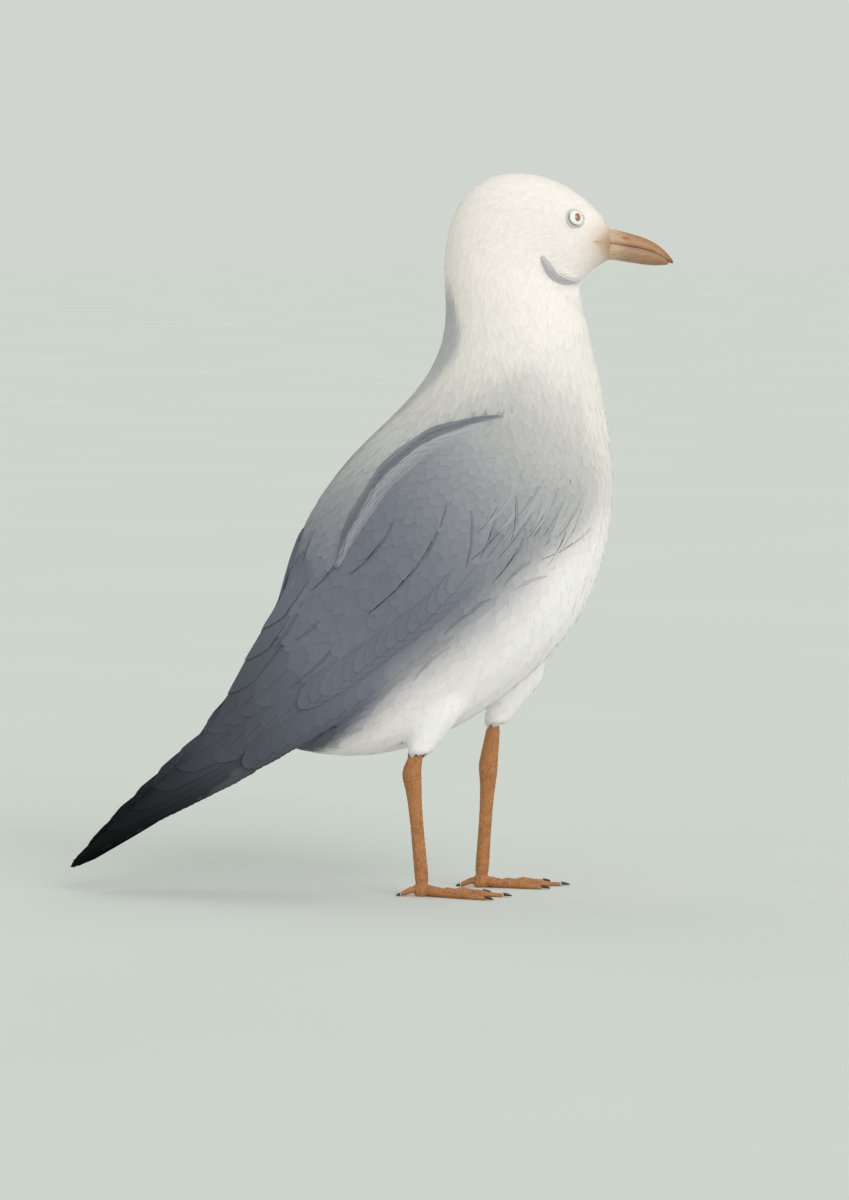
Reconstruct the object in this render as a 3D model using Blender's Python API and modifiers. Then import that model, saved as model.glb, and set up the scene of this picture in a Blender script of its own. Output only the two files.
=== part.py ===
"""A silver gull that stands upright on both feet: a life-size, still museum model.

The bill points to +X, the bird's left side is +Y, and the origin is on the floor, under the middle
of the model's box. The feathered forms reach to the tips of the plumage. Sizes are written in
millimetres, and the mesh is in metres, +Z up.
"""

import math
from typing import NamedTuple

import bmesh
import bpy
from mathutils import Matrix, Vector

MM = 0.001

# Driving dimensions, in millimetres
GAP = 0.35  # clearance between pieces that lie against each other
BILL_SIDES = 8
TOE_SIDES = 6
LEG_SIDES = 7
FLOOR_SINK = 0.5  # how far a toe's round form would reach below the floor before it is cut flat
BODY_SIDES = 14  # corners round a body ring
WING_ARC = 5  # corners along each face of a wing ring
CAGE_GROWTH = 1.025  # how much larger a ring is than its subdivided form
HEAD_CUT = ((30.0, 265.0), (87.0, 255.8))  # the cuts run from the back line to the front line
NECK_CUT = ((23.5, 218.0), (101.0, 190.0))
WINGTIP_CUT = ((-57.5, 86.0), (-45.5, 52.0))  # from the wing's upper to its lower edge

EYE_RADIUS = 5.2
EYE_CENTRE = (81.8, 12.8, 282.2)
BILL_ROOT_X = 92.0  # inside the feathers of the face
BILL_TIP = (126.0, 264.4)
NOSTRIL = (105.6, 3.6, 274.6)
NOSTRIL_LENGTH, NOSTRIL_HEIGHT = 4.2, 1.1

LEG_SPREAD = 17.5  # from the middle plane to each leg
ANKLE_Z = 51.5
TOE_JOINT_Z = 5.2  # where the shank meets the foot
FOOT_TURN = 7.0  # degrees, toes outwards
WEB_BOTTOM, WEB_TOP = 0.35, 1.45


class Ring(NamedTuple):
    """A cross-section of the body: its points on the back and front lines, its half width, and
    how square its corners are, where 2 is an ellipse."""

    back: tuple
    front: tuple
    half_width: float
    squareness: float = 2.0


class WingRing(NamedTuple):
    """A cross-section of the left wing: its upper and lower edge, and how far each face bows out."""

    upper: tuple
    lower: tuple
    outer_bow: float
    inner_bow: float


class BillRing(NamedTuple):
    """A cross-section of the bill: ridge, mouth line and underside heights, and its half width."""

    x: float
    ridge: float
    mouth: float
    under: float
    half_width: float


class Leg(NamedTuple):
    """One leg: which side it is on, and where its ankle, toe joint and feather edge are."""

    name: str
    side: int
    ankle_x: float
    foot_x: float
    feathers_end_z: float


BODY_RINGS = (
    Ring((-51.0, 79.0), (-41.0, 62.0), 12.0),  # root of the tail
    Ring((-46.0, 95.5), (-22.5, 57.5), 19.5),  # vent
    Ring((-40.5, 113.0), (1.5, 56.2), 27.5),
    Ring((-36.3, 132.0), (24.5, 62.8), 34.0),
    Ring((-31.5, 151.0), (49.8, 76.6), 40.0),
    Ring((-22.5, 167.0), (72.5, 95.0), 45.0),  # belly
    Ring((-11.5, 182.0), (89.5, 115.5), 46.0),
    Ring((2.5, 195.5), (98.5, 140.0), 44.5),  # breast
    Ring((14.0, 206.0), (102.5, 165.0), 41.0),  # shoulders
    Ring((23.5, 218.0), (101.0, 190.0), 36.5),  # root of the neck
    Ring((29.5, 230.5), (96.5, 213.5), 30.5),
    Ring((31.0, 244.0), (91.5, 234.5), 25.5),
    Ring((29.8, 257.5), (87.8, 249.0), 22.5),
    Ring((29.8, 272.0), (86.9, 254.8), 20.5, 2.1),  # nape and throat
    Ring((34.9, 289.4), (88.2, 257.0), 19.5, 2.3),
    Ring((45.4, 300.2), (89.9, 259.1), 18.8, 2.5),  # crown
    Ring((60.1, 303.3), (91.6, 260.8), 18.0, 2.6),
    Ring((76.9, 299.9), (94.1, 262.9), 15.8, 2.6),  # eyes
    Ring((88.8, 291.9), (96.6, 264.2), 11.8, 2.4),  # lores
    Ring((95.2, 285.4), (98.8, 265.4), 8.4, 2.2),
    Ring((101.0, 279.3), (100.2, 266.3), 6.0),  # the edge of the feathers round the bill
)
WING_RINGS = (
    WingRing((93.0, 21.5, 171.0), (94.4, 19.5, 161.5), 2.2, 0.0),  # the bend of the wing
    WingRing((84.0, 28.8, 185.2), (89.5, 24.3, 150.4), 6.5, 0.0),
    WingRing((68.5, 33.8, 195.3), (76.9, 33.3, 144.5), 9.6, 0.0),
    WingRing((47.5, 33.8, 199.9), (60.1, 39.4, 134.8), 12.4, 0.0),
    WingRing((24.4, 29.2, 194.5), (45.4, 40.8, 120.5), 16.0, 0.0),
    WingRing((3.4, 26.4, 179.3), (28.6, 38.8, 102.9), 18.0, 0.0),
    WingRing((-13.4, 25.2, 158.8), (10.9, 35.4, 89.5), 16.5, 0.0),
    WingRing((-30.5, 17.0, 138.0), (-7.1, 28.4, 76.0), 17.0, 3.0),
    WingRing((-43.5, 7.0, 116.5), (-23.9, 22.0, 65.1), 15.5, 9.5),
    WingRing((-54.0, 3.0, 97.5), (-36.5, 22.5, 57.1), 12.0, 8.5),
    WingRing((-64.6, 2.2, 77.4), (-54.2, 22.5, 47.5), 8.5, 6.0),
    WingRing((-77.3, 2.0, 56.7), (-70.0, 21.5, 39.5), 5.4, 3.4),  # the stacked primaries
    WingRing((-93.2, 2.2, 43.3), (-87.8, 18.0, 30.7), 3.8, 1.8),
    WingRing((-109.2, 3.0, 29.8), (-105.4, 13.0, 21.4), 2.4, 0.8),
    WingRing((-121.5, 4.6, 18.4), (-119.6, 8.6, 14.6), 1.2, 0.2),
    WingRing((-126.5, 5.8, 12.0), (-126.0, 7.0, 11.0), 0.6, 0.0),  # the tip of the wing
)
WING_EDGE = 0.7  # half the thickness of a wing's edge
BILL_RINGS = (
    BillRing(BILL_ROOT_X, 280.8, 273.2, 266.8, 5.6),
    BillRing(97.5, 279.8, 272.3, 266.0, 5.4),
    BillRing(103.0, 278.2, 271.4, 265.1, 4.8),
    BillRing(109.0, 276.6, 270.5, 264.2, 4.2),
    BillRing(114.5, 274.9, 269.4, 263.3, 3.7),  # the angle under the bill
    BillRing(119.0, 272.5, 267.6, 263.2, 3.0),
    BillRing(122.5, 269.6, 265.9, 263.6, 2.2),
)
LEGS = (
    Leg("right", -1, 16.8, 21.0, 59.5),
    Leg("left", 1, 49.3, 46.2, 69.5),
)
# Each toe: its name, its angle outwards from the middle toe, its length, and how far the web reaches on it
TOES = (("inner", -27.0, 27.0, 0.86), ("middle", 0.0, 34.0, 0.84), ("outer", 26.0, 31.5, 0.88))


def clear_scene():
    """Removes what the scene starts with."""
    for thing in list(bpy.data.objects):
        bpy.data.objects.remove(thing)


def point(x, y, z):
    """A point in metres from its place in millimetres."""
    return Vector((x, y, z)) * MM


def collection(name):
    """A new collection in the scene."""
    made = bpy.data.collections.new(name)
    bpy.context.scene.collection.children.link(made)
    return made


def finish(name, colour, roughness):
    """A plain material."""
    made = bpy.data.materials.new(name)
    made.use_nodes = True
    shader = made.node_tree.nodes["Principled BSDF"]
    shader.inputs["Base Color"].default_value = (*colour, 1.0)
    shader.inputs["Roughness"].default_value = roughness
    shader.inputs["Metallic"].default_value = 0.0
    return made


def linked(name, mesh, group):
    """An object that holds this mesh."""
    made = bpy.data.objects.new(name, mesh)
    group.objects.link(made)
    return made


def smoothed(name, rings, group, levels=1):
    """A closed form through rings of corners, capped at both ends and smoothed by subdivision."""
    shape = bmesh.new()
    loops = [[shape.verts.new(corner) for corner in ring] for ring in rings]
    for one, two in zip(loops, loops[1:]):
        for i in range(len(one)):
            j = (i + 1) % len(one)
            shape.faces.new((one[i], one[j], two[j], two[i]))
    shape.faces.new(loops[0])
    shape.faces.new(loops[-1])
    bmesh.ops.recalc_face_normals(shape, faces=shape.faces)
    mesh = bpy.data.meshes.new(name)
    shape.to_mesh(mesh)
    shape.free()
    made = linked(name, mesh, group)
    if levels:
        subdivision = made.modifiers.new("smooth", "SUBSURF")
        subdivision.levels = subdivision.render_levels = levels
    return made


def applied(made):
    """The object's mesh with its modifiers applied."""
    bpy.context.view_layer.update()
    graph = bpy.context.evaluated_depsgraph_get()
    return bpy.data.meshes.new_from_object(made.evaluated_get(graph))


def apply(made):
    """Applies the object's modifiers."""
    mesh = applied(made)
    made.modifiers.clear()
    made.data = mesh
    return made


def as_cutter(made):
    """Marks an object as a cutter, which isn't part of the model."""
    made.hide_render = True
    made.display_type = "WIRE"
    return made


def grown(made, by=GAP):
    """A cutter a little larger than an object all round."""
    shape = bmesh.new()
    shape.from_mesh(applied(made))
    shape.normal_update()
    for corner in shape.verts:
        corner.co += corner.normal * by * MM
    mesh = bpy.data.meshes.new(made.name + "_cutter")
    shape.to_mesh(mesh)
    shape.free()
    return as_cutter(linked(made.name + "_cutter", mesh, CUTTERS))


def carve(made, cutter):
    """Cuts one form out of another, and applies that."""
    cut = made.modifiers.new("cut", "BOOLEAN")
    cut.operation = "DIFFERENCE"
    cut.solver = "EXACT"
    cut.object = cutter
    return apply(made)


def joined(made, others):
    """Unites forms that overlap into the first of them."""
    for other in others:
        union = made.modifiers.new("join", "BOOLEAN")
        union.operation = "UNION"
        union.solver = "EXACT"
        union.object = other
        apply(made)
        bpy.data.objects.remove(other)
    return made


def sliced(made, name, place, normal, group):
    """The part of a form that lies on the side of a plane that its normal points to."""
    shape = bmesh.new()
    shape.from_mesh(made.data)
    everything = list(shape.verts) + list(shape.edges) + list(shape.faces)
    cut = bmesh.ops.bisect_plane(
        shape, geom=everything, plane_co=place, plane_no=normal, clear_inner=True
    )
    rim = [e for e in cut["geom_cut"] if isinstance(e, bmesh.types.BMEdge)]
    bmesh.ops.contextual_create(shape, geom=rim)
    bmesh.ops.recalc_face_normals(shape, faces=shape.faces)
    mesh = bpy.data.meshes.new(name)
    shape.to_mesh(mesh)
    shape.free()
    return linked(name, mesh, group)


def cut_flat(made, name, z, up):
    """The part of a form above this height, or below it where up is -1."""
    kept = sliced(apply(made), name, point(0, 0, z), Vector((0, 0, up)), GULL)
    bpy.data.objects.remove(made)
    return kept


def parted(made, low_name, high_name, cut, up, group):
    """Parts a form by a thin cut square to the middle plane, into the pieces below and above it."""
    start, end = (point(x, 0, z) for x, z in cut)
    along = (end - start).normalized()
    normal = Vector((-along.z, 0, along.x))
    if normal.dot(Vector(up)) < 0:
        normal.negate()
    half_gap = normal * GAP * MM / 2
    low = sliced(made, low_name, start - half_gap, -normal, group)
    high = sliced(made, high_name, start + half_gap, normal, group)
    return low, high


def mirrored(made, name, group):
    """The same form on the bird's right side."""
    shape = bmesh.new()
    shape.from_mesh(made.data)
    bmesh.ops.transform(shape, matrix=Matrix.Scale(-1, 4, (0, 1, 0)), verts=shape.verts)
    bmesh.ops.reverse_faces(shape, faces=shape.faces)
    mesh = bpy.data.meshes.new(name)
    shape.to_mesh(mesh)
    shape.free()
    return linked(name, mesh, group)


def oval(centre, along, height_axis, half_width, half_height, sides=8):
    """An oval of corners round a point, square to the way a tube runs there."""
    along = along.normalized()
    height_axis = Vector(height_axis)
    upright = (height_axis - along * height_axis.dot(along)).normalized()
    across = along.cross(upright)
    turns = [2 * math.pi * i / sides for i in range(sides)]
    return [
        centre + (across * half_width * math.cos(a) + upright * half_height * math.sin(a)) * MM
        for a in turns
    ]


def standing_oval(centre, along, half_width, half_depth, sides=8):
    """An oval round a limb that runs up or down: its width is across the bird."""
    return oval(centre, along, (1, 0, 0), half_width, half_depth, sides)


def lying_oval(centre, along, half_width, half_height, sides=8):
    """An oval round a form that lies nearly level."""
    return oval(centre, along, (0, 0, 1), half_width, half_height, sides)


def body_ring(ring):
    """The corners of one body ring, a rounded form from the back line to the front line."""
    back = point(ring.back[0], 0, ring.back[1])
    front = point(ring.front[0], 0, ring.front[1])
    middle = (back + front) / 2
    along = (back - front) / 2 * CAGE_GROWTH
    across = point(0, ring.half_width, 0) * CAGE_GROWTH
    corners = []
    for i in range(BODY_SIDES):
        angle = 2 * math.pi * i / BODY_SIDES
        c, s = math.cos(angle), math.sin(angle)
        power = 2 / ring.squareness
        corners.append(
            middle
            + along * math.copysign(abs(c) ** power, c)
            + across * math.copysign(abs(s) ** power, s)
        )
    return corners


def make_body():
    """Head, neck and trunk, modelled whole and parted by two thin cuts."""
    whole = apply(smoothed("body_form", [body_ring(r) for r in BODY_RINGS], CUTTERS))
    trunk, rest = parted(whole, "trunk", "neck_and_head", NECK_CUT, (0, 0, 1), GULL)
    neck, head = parted(rest, "neck", "head", HEAD_CUT, (0, 0, 1), GULL)
    bpy.data.objects.remove(whole)
    bpy.data.objects.remove(rest)
    return trunk, neck, head


def wing_ring(ring):
    """The corners of one wing ring: down its outer face, and back up its inner face."""
    upper, lower = point(*ring.upper), point(*ring.lower)
    corners = []
    for bow, out in ((ring.outer_bow, 1), (ring.inner_bow, -1)):
        face = []
        for i in range(WING_ARC):
            share = (1 - math.cos(math.pi * i / (WING_ARC - 1))) / 2
            bulge = bow * math.sin(math.pi * i / (WING_ARC - 1)) + WING_EDGE * out
            face.append(upper.lerp(lower, share) + point(0, bulge, 0))
        corners += face if out > 0 else face[::-1]
    return corners


def make_wings(trunk):
    """Both folded wings, each fitted to the side of the trunk and parted from its primaries."""
    form = smoothed("wing_form", [wing_ring(r) for r in WING_RINGS], CUTTERS)
    carve(form, grown(trunk))
    tip, wing = parted(form, "wingtip_left", "wing_left", WINGTIP_CUT, (1, 0, 1), GULL)
    bpy.data.objects.remove(form)
    return [wing, mirrored(wing, "wing_right", GULL)], [tip, mirrored(tip, "wingtip_right", GULL)]


def make_tail(trunk):
    """The closed tail, a flat fan under the wings."""
    root, tip = point(-38.0, 0, 70.0), point(-91.0, 0, 33.0)
    # half width and half thickness, from the root to the square end
    sections = ((11.0, 5.5), (12.5, 4.2), (14.0, 3.0), (15.0, 2.0), (15.6, 1.5), (15.4, 1.1))
    rings = []
    for i, (half_width, half_height) in enumerate(sections):
        centre = root.lerp(tip, i / (len(sections) - 1))
        rings.append(lying_oval(centre, tip - root, half_width, half_height))
    return carve(smoothed("tail", rings, GULL), bpy.data.objects["trunk_cutter"])


def bill_half(name, rings, upper):
    """One half of the bill, from the face to its tip."""
    corners = []
    for ring in rings:
        edge = ring.mouth + GAP / 2 if upper else ring.mouth - GAP / 2
        far = ring.ridge if upper else ring.under
        widest = edge + (far - edge) * 0.22
        loop = []
        for i in range(BILL_SIDES):
            a = 2 * math.pi * i / BILL_SIDES
            reach = (far - widest) if math.sin(a) > 0 else (widest - edge)
            loop.append(
                point(ring.x, ring.half_width * math.cos(a), widest + reach * math.sin(a))
            )
        corners.append(loop)
    return smoothed(name, corners, GULL)


def make_bill(head):
    """Both halves of the bill, with the upper one hooked a little over the lower, and its nostrils."""
    tip_x, tip_z = BILL_TIP
    hook = (
        BillRing(tip_x - 1.4, tip_z + 2.5, tip_z + 0.1, 0, 1.3),
        BillRing(tip_x, tip_z + 0.7, tip_z - 0.5, 0, 0.6),
    )
    end = (BillRing(tip_x - 1.9, 0, tip_z + 0.3, tip_z - 0.5, 1.1),)
    face = grown(head)
    upper = carve(bill_half("bill_upper", BILL_RINGS + hook, True), face)
    lower = carve(bill_half("bill_lower", BILL_RINGS + end, False), face)
    x, y, z = NOSTRIL
    for side in (1, -1):
        shape = bmesh.new()
        bmesh.ops.create_uvsphere(shape, u_segments=8, v_segments=4, radius=0.5 * MM)
        mesh = bpy.data.meshes.new("nostril_cutter")
        shape.to_mesh(mesh)
        shape.free()
        slit = as_cutter(linked("nostril_cutter", mesh, CUTTERS))
        slit.scale = (NOSTRIL_LENGTH, 2.0, NOSTRIL_HEIGHT)
        slit.rotation_euler = (0, math.radians(16), 0)
        slit.location = point(x, y * side, z)
        carve(upper, slit)
    return upper, lower


def ball(name, radius, centre, group, segments=12, rings=8):
    """A round ball with its place in its mesh."""
    shape = bmesh.new()
    bmesh.ops.create_uvsphere(
        shape, u_segments=segments, v_segments=rings, radius=radius * MM
    )
    bmesh.ops.rotate(
        shape, verts=shape.verts, cent=(0, 0, 0), matrix=Matrix.Rotation(math.pi / 2, 3, "X")
    )
    bmesh.ops.translate(shape, verts=shape.verts, vec=point(*centre))
    mesh = bpy.data.meshes.new(name)
    shape.to_mesh(mesh)
    shape.free()
    return linked(name, mesh, group)


def make_eyes(head):
    """Both eyeballs, each set in its socket."""
    x, y, z = EYE_CENTRE
    eyes = []
    for name, side in (("left", 1), ("right", -1)):
        centre = (x, y * side, z)
        carve(head, as_cutter(ball("socket_" + name, EYE_RADIUS + GAP, centre, CUTTERS)))
        eyes.append(ball("eye_" + name, EYE_RADIUS, centre, GULL))
    return eyes


def make_thigh(leg, trunk):
    """The feathered thigh, from inside the belly down to the bare leg."""
    top = point(leg.ankle_x + 16.0, leg.side * LEG_SPREAD, leg.feathers_end_z + 32.0)
    end = point(leg.ankle_x + 2.2, leg.side * LEG_SPREAD, leg.feathers_end_z)
    # how far down the thigh, and its half width and half depth there
    sections = ((0.0, 12.0, 15.0), (0.4, 9.5, 12.0), (0.75, 6.6, 7.6), (1.0, 4.6, 5.2), (1.12, 4.2, 4.8))
    rings = [standing_oval(top.lerp(end, s), end - top, w, d) for s, w, d in sections]
    form = cut_flat(smoothed("thigh_form", rings, GULL), "thigh_" + leg.name, leg.feathers_end_z, 1)
    return carve(form, bpy.data.objects["trunk_cutter"])


def make_shank(leg):
    """The bare leg: the end of the shin, the ankle and the long shank."""
    y = leg.side * LEG_SPREAD
    top = point(leg.ankle_x + 2.2, y, leg.feathers_end_z + 2.0)
    ankle = point(leg.ankle_x, y, ANKLE_Z)
    foot = point(leg.foot_x, y, TOE_JOINT_Z)
    # how far down the shank, and its half width and half depth there
    shank = ((0.1, 3.3, 4.3), (0.24, 2.3, 3.3), (0.6, 2.2, 3.1), (0.9, 2.7, 3.4), (1.05, 2.9, 3.4))
    rings = [
        standing_oval(top, ankle - top, 2.7, 3.4, LEG_SIDES),
        standing_oval(top.lerp(ankle, 0.5), ankle - top, 2.8, 3.6, LEG_SIDES),
        standing_oval(ankle + point(-0.6, 0, 0.5), foot - top, 3.6, 5.0, LEG_SIDES),
    ]
    for share, width, depth in shank:
        rings.append(standing_oval(ankle.lerp(foot, share), foot - ankle, width, depth, LEG_SIDES))
    form = cut_flat(smoothed("leg_form", rings, GULL), "shank_form", TOE_JOINT_Z, 1)
    return cut_flat(form, "leg_" + leg.name, leg.feathers_end_z - GAP, -1)


def toe_place(leg, angle, reach, z):
    """A point on a toe: so far from the toe joint, at that angle outwards."""
    turn = math.radians(angle + FOOT_TURN) * leg.side
    return point(
        leg.foot_x + reach * math.cos(turn),
        leg.side * LEG_SPREAD + reach * math.sin(turn),
        z,
    )


def make_toe(leg, name, angle, length):
    """One toe: it comes down from the toe joint and swells at each joint of its own."""
    # how far along the toe, its radius, and how far its middle is above its own radius
    sections = ((0.0, 2.3, 1.2), (0.14, 2.2, 0.6), (0.34, 1.7, 0.0), (0.42, 2.0, 0.0))
    sections += ((0.55, 1.6, 0.0), (0.68, 1.9, 0.0), (0.82, 1.4, 0.0), (1.0, 1.1, 0.0))
    along = toe_place(leg, angle, 1.0, 0) - toe_place(leg, angle, 0.0, 0)
    rings = []
    for share, radius, lift in sections:
        centre = toe_place(leg, angle, length * share, radius - FLOOR_SINK + lift)
        rings.append(lying_oval(centre, along, radius, radius, TOE_SIDES))
    return smoothed(name, rings, GULL, levels=0)


def make_web(leg):
    """The webs, one flat sheet between the three toes whose front edge is hollow between them."""
    outline = [toe_place(leg, 180.0, 1.2, 0)]
    for (_, angle, length, reach), toe in zip(TOES, TOES[1:] + (None,)):
        outline.append(toe_place(leg, angle, length * reach, 0))
        if toe is None:
            continue
        start = toe_place(leg, angle, length * reach, 0)
        end = toe_place(leg, toe[1], toe[2] * toe[3], 0)
        hollow = toe_place(leg, (angle + toe[1]) / 2, 20.5, 0)
        for share in (0.2, 0.4, 0.6, 0.8):
            edge = start.lerp(hollow, share).lerp(hollow.lerp(end, share), share)
            outline.append(edge)
    shape = bmesh.new()
    flat = shape.faces.new([shape.verts.new(p + point(0, 0, WEB_BOTTOM)) for p in outline])
    raised = bmesh.ops.extrude_face_region(shape, geom=[flat])
    corners = [v for v in raised["geom"] if isinstance(v, bmesh.types.BMVert)]
    bmesh.ops.translate(shape, verts=corners, vec=point(0, 0, WEB_TOP - WEB_BOTTOM))
    bmesh.ops.recalc_face_normals(shape, faces=shape.faces)
    mesh = bpy.data.meshes.new("web")
    shape.to_mesh(mesh)
    shape.free()
    return linked("web", mesh, GULL)


def make_foot(leg):
    """One webbed foot with its three long toes and small hind toe, cut flat where it stands."""
    foot = make_web(leg)
    toes = [make_toe(leg, "toe_" + name, angle, length) for name, angle, length, _ in TOES]
    joint = point(leg.foot_x, leg.side * LEG_SPREAD, 0)
    heel = [
        standing_oval(joint + point(-0.2, 0, z), Vector((0, 0, 1)), radius, radius)
        for z, radius in ((-FLOOR_SINK, 2.6), (1.6, 3.5), (3.6, 3.3), (TOE_JOINT_Z + GAP, 2.8))
    ]
    hind = [
        lying_oval(toe_place(leg, 165.0, reach, z), Vector((-1, 0, -0.25)), radius, radius, TOE_SIDES)
        for reach, z, radius in ((1.0, 3.4, 1.7), (5.0, 2.4, 1.5), (9.0, 0.8, 1.1))
    ]
    forms = toes + [
        smoothed("heel", heel, GULL, levels=0),
        smoothed("toe_hind", hind, GULL, levels=0),
    ]
    joined(foot, forms)
    standing = cut_flat(foot, "foot_form", 0.0, 1)
    return cut_flat(standing, "foot_" + leg.name, TOE_JOINT_Z - GAP, -1)


def make_claws(leg, foot):
    """The claws, one curved cone on the end of each toe."""
    skin = grown(foot)
    claws = []
    places = [(name, angle, length, 1.1, 4.6) for name, angle, length, _ in TOES]
    places.append(("hind", 165.0, 9.0, 0.9, 2.8))
    for name, angle, start, height, length in places:
        rings = []
        for share, radius, lift in ((0.0, 0.95, 0.0), (0.5, 0.75, 0.0), (1.0, 0.3, -0.45)):
            centre = toe_place(leg, angle, start - 0.8 + length * share, height + lift)
            along = centre - toe_place(leg, angle, 0.0, height + lift)
            rings.append(lying_oval(centre, along, radius, radius, 6))
        claw = smoothed(f"claw_{leg.name}_{name}", rings, GULL, levels=0)
        claws.append(carve(claw, skin))
    return claws


def dress(pieces, material):
    """Gives pieces their material, and shades them smooth but for their cut edges."""
    for piece in pieces:
        piece.data.materials.clear()
        piece.data.materials.append(material)
        piece.data.shade_smooth()
        piece.data.set_sharp_from_angle(angle=math.radians(45))


clear_scene()
GULL = collection("silver_gull")
CUTTERS = collection("cutters")

WHITE = finish("white_feathers", (0.86, 0.83, 0.77), 0.8)
GREY = finish("grey_feathers", (0.16, 0.17, 0.21), 0.75)
BLACK = finish("black_feathers", (0.012, 0.012, 0.014), 0.6)
HORN = finish("bill", (0.38, 0.22, 0.12), 0.45)
SKIN = finish("leg_skin", (0.45, 0.21, 0.085), 0.5)
CLAW = finish("claw", (0.05, 0.04, 0.035), 0.4)
IRIS = finish("eye", (0.8, 0.8, 0.78), 0.1)

trunk, neck, head = make_body()
wings, wingtips = make_wings(trunk)
tail = make_tail(trunk)
eyes = make_eyes(head)
bill = make_bill(head)
dress([trunk, neck, head, tail], WHITE)
dress(wings, GREY)
dress(wingtips, BLACK)
dress(bill, HORN)
dress(eyes, IRIS)
for leg in LEGS:
    thigh = make_thigh(leg, trunk)
    shank = make_shank(leg)
    foot = make_foot(leg)
    dress([thigh], WHITE)
    dress([shank, foot], SKIN)
    dress(make_claws(leg, foot), CLAW)
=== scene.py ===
"""The looks of a silver gull that stands upright: its coat of feathers, bill, eyes, legs and feet.

The bird points its bill to +X, its left side is +Y and it stands on z = 0. Sizes in the classes
are in millimetres, and meshes are written in metres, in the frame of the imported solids.
"""

import logging
import math
from dataclasses import dataclass, field
from enum import Enum

import bmesh
import bpy
import numpy as np
from bmesh.types import BMesh
from bpy.types import Material, Mesh, Node, NodeSocket, Object
from mathutils import Matrix, Vector, noise
from mathutils.bvhtree import BVHTree
from mathutils.kdtree import KDTree
from numpy.random import Generator


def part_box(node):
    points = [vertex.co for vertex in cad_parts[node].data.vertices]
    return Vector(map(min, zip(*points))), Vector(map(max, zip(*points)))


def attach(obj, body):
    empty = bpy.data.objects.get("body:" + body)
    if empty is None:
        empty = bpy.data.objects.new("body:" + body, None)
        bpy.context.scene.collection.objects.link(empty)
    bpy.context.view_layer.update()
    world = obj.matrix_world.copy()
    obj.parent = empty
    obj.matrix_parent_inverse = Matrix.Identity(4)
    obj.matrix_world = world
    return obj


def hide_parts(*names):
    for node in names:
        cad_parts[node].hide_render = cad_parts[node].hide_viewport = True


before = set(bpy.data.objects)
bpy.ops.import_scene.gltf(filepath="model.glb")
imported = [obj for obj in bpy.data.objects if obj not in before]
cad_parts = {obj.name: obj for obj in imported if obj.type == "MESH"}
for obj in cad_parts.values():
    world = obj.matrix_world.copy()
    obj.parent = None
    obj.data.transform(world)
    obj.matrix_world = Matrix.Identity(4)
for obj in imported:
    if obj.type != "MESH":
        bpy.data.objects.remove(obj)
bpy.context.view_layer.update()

logging.basicConfig(level=logging.INFO, format="%(message)s", force=True)
LOG = logging.getLogger("gull")

MM = 0.001
SEED = 20
Array = np.ndarray


class Side(Enum):
    """The bird's two sides, by the sign of y."""

    LEFT = 1
    RIGHT = -1

    @property
    def label(self) -> str:
        """The side's name in lower case."""
        return self.name.lower()


class Tract(Enum):
    """The feather tracts, each of which becomes one or two pieces."""

    HEAD = "head"
    NECK = "neck"
    BACK = "back"
    BREAST = "breast"
    BELLY = "belly"
    WING = "wing"


# ----------------------------------------
# Small helpers


def smoothstep(low: float, high: float, value: Array) -> Array:
    """A soft step of value from 0 at low to 1 at high."""
    share = np.clip((value - low) / (high - low), 0.0, 1.0)
    return share * share * (3.0 - 2.0 * share)


def fade(low: float, high: float, value: Array) -> Array:
    """A soft step of value from 1 at low to 0 at high."""
    return 1.0 - smoothstep(low, high, value)


def paint(red: int, green: int, blue: int) -> Array:
    """The linear colour of a paint given by its three display values, from 0 to 255."""
    shown = np.array((red, green, blue)) / 255.0
    return np.where(shown <= 0.04045, shown / 12.92, ((shown + 0.055) / 1.055) ** 2.4)


def unit(vectors: Array) -> Array:
    """Vectors scaled to a length of one, row by row."""
    return vectors / np.maximum(np.linalg.norm(vectors, axis=-1, keepdims=True), 1e-9)


def mixed(one: Array, two: Array, share: Array) -> Array:
    """Two colours mixed row by row, by the share of the second."""
    share = np.asarray(share)[..., None]
    return one * (1.0 - share) + two * share


def read_off(table: tuple, at: Array, column: int = 1) -> Array:
    """A column of a table, read in straight steps at places given as in its first column."""
    rows = np.array(table, float)
    return np.interp(at, rows[:, 0], rows[:, column])


def stretches(points: tuple) -> tuple[Array, Array, Array, Array]:
    """Start, direction, length and running length of each stretch of a line."""
    line = np.array(points, float)
    steps = np.diff(line, axis=0)
    lengths = np.linalg.norm(steps, axis=1)
    runs = np.concatenate([[0], np.cumsum(lengths)[:-1]])
    return line[:-1], steps / lengths[:, None], lengths, runs


def select_only(obj: Object) -> None:
    """Makes an object the active one and the only one selected."""
    bpy.ops.object.select_all(action="DESELECT")
    obj.select_set(True)
    bpy.context.view_layer.objects.active = obj


def linked(name: str, data: bpy.types.ID) -> Object:
    """A new object that holds this mesh, light or camera."""
    made = bpy.data.objects.new(name, data)
    bpy.context.scene.collection.objects.link(made)
    return made


def applied(obj: Object, kind: str, **settings: object) -> None:
    """Adds a modifier and applies it.

    Args:
        obj: the object it works on.
        kind: the modifier's type.
        settings: the modifier's own values.
    """
    select_only(obj)
    modifier = obj.modifiers.new("step", kind)
    for key, value in settings.items():
        setattr(modifier, key, value)
    bpy.ops.object.modifier_apply(modifier=modifier.name)


def places_of(mesh: Mesh) -> Array:
    """A mesh's vertices in millimetres."""
    found = np.empty(len(mesh.vertices) * 3)
    mesh.vertices.foreach_get("co", found)
    return found.reshape(-1, 3) / MM


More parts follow.
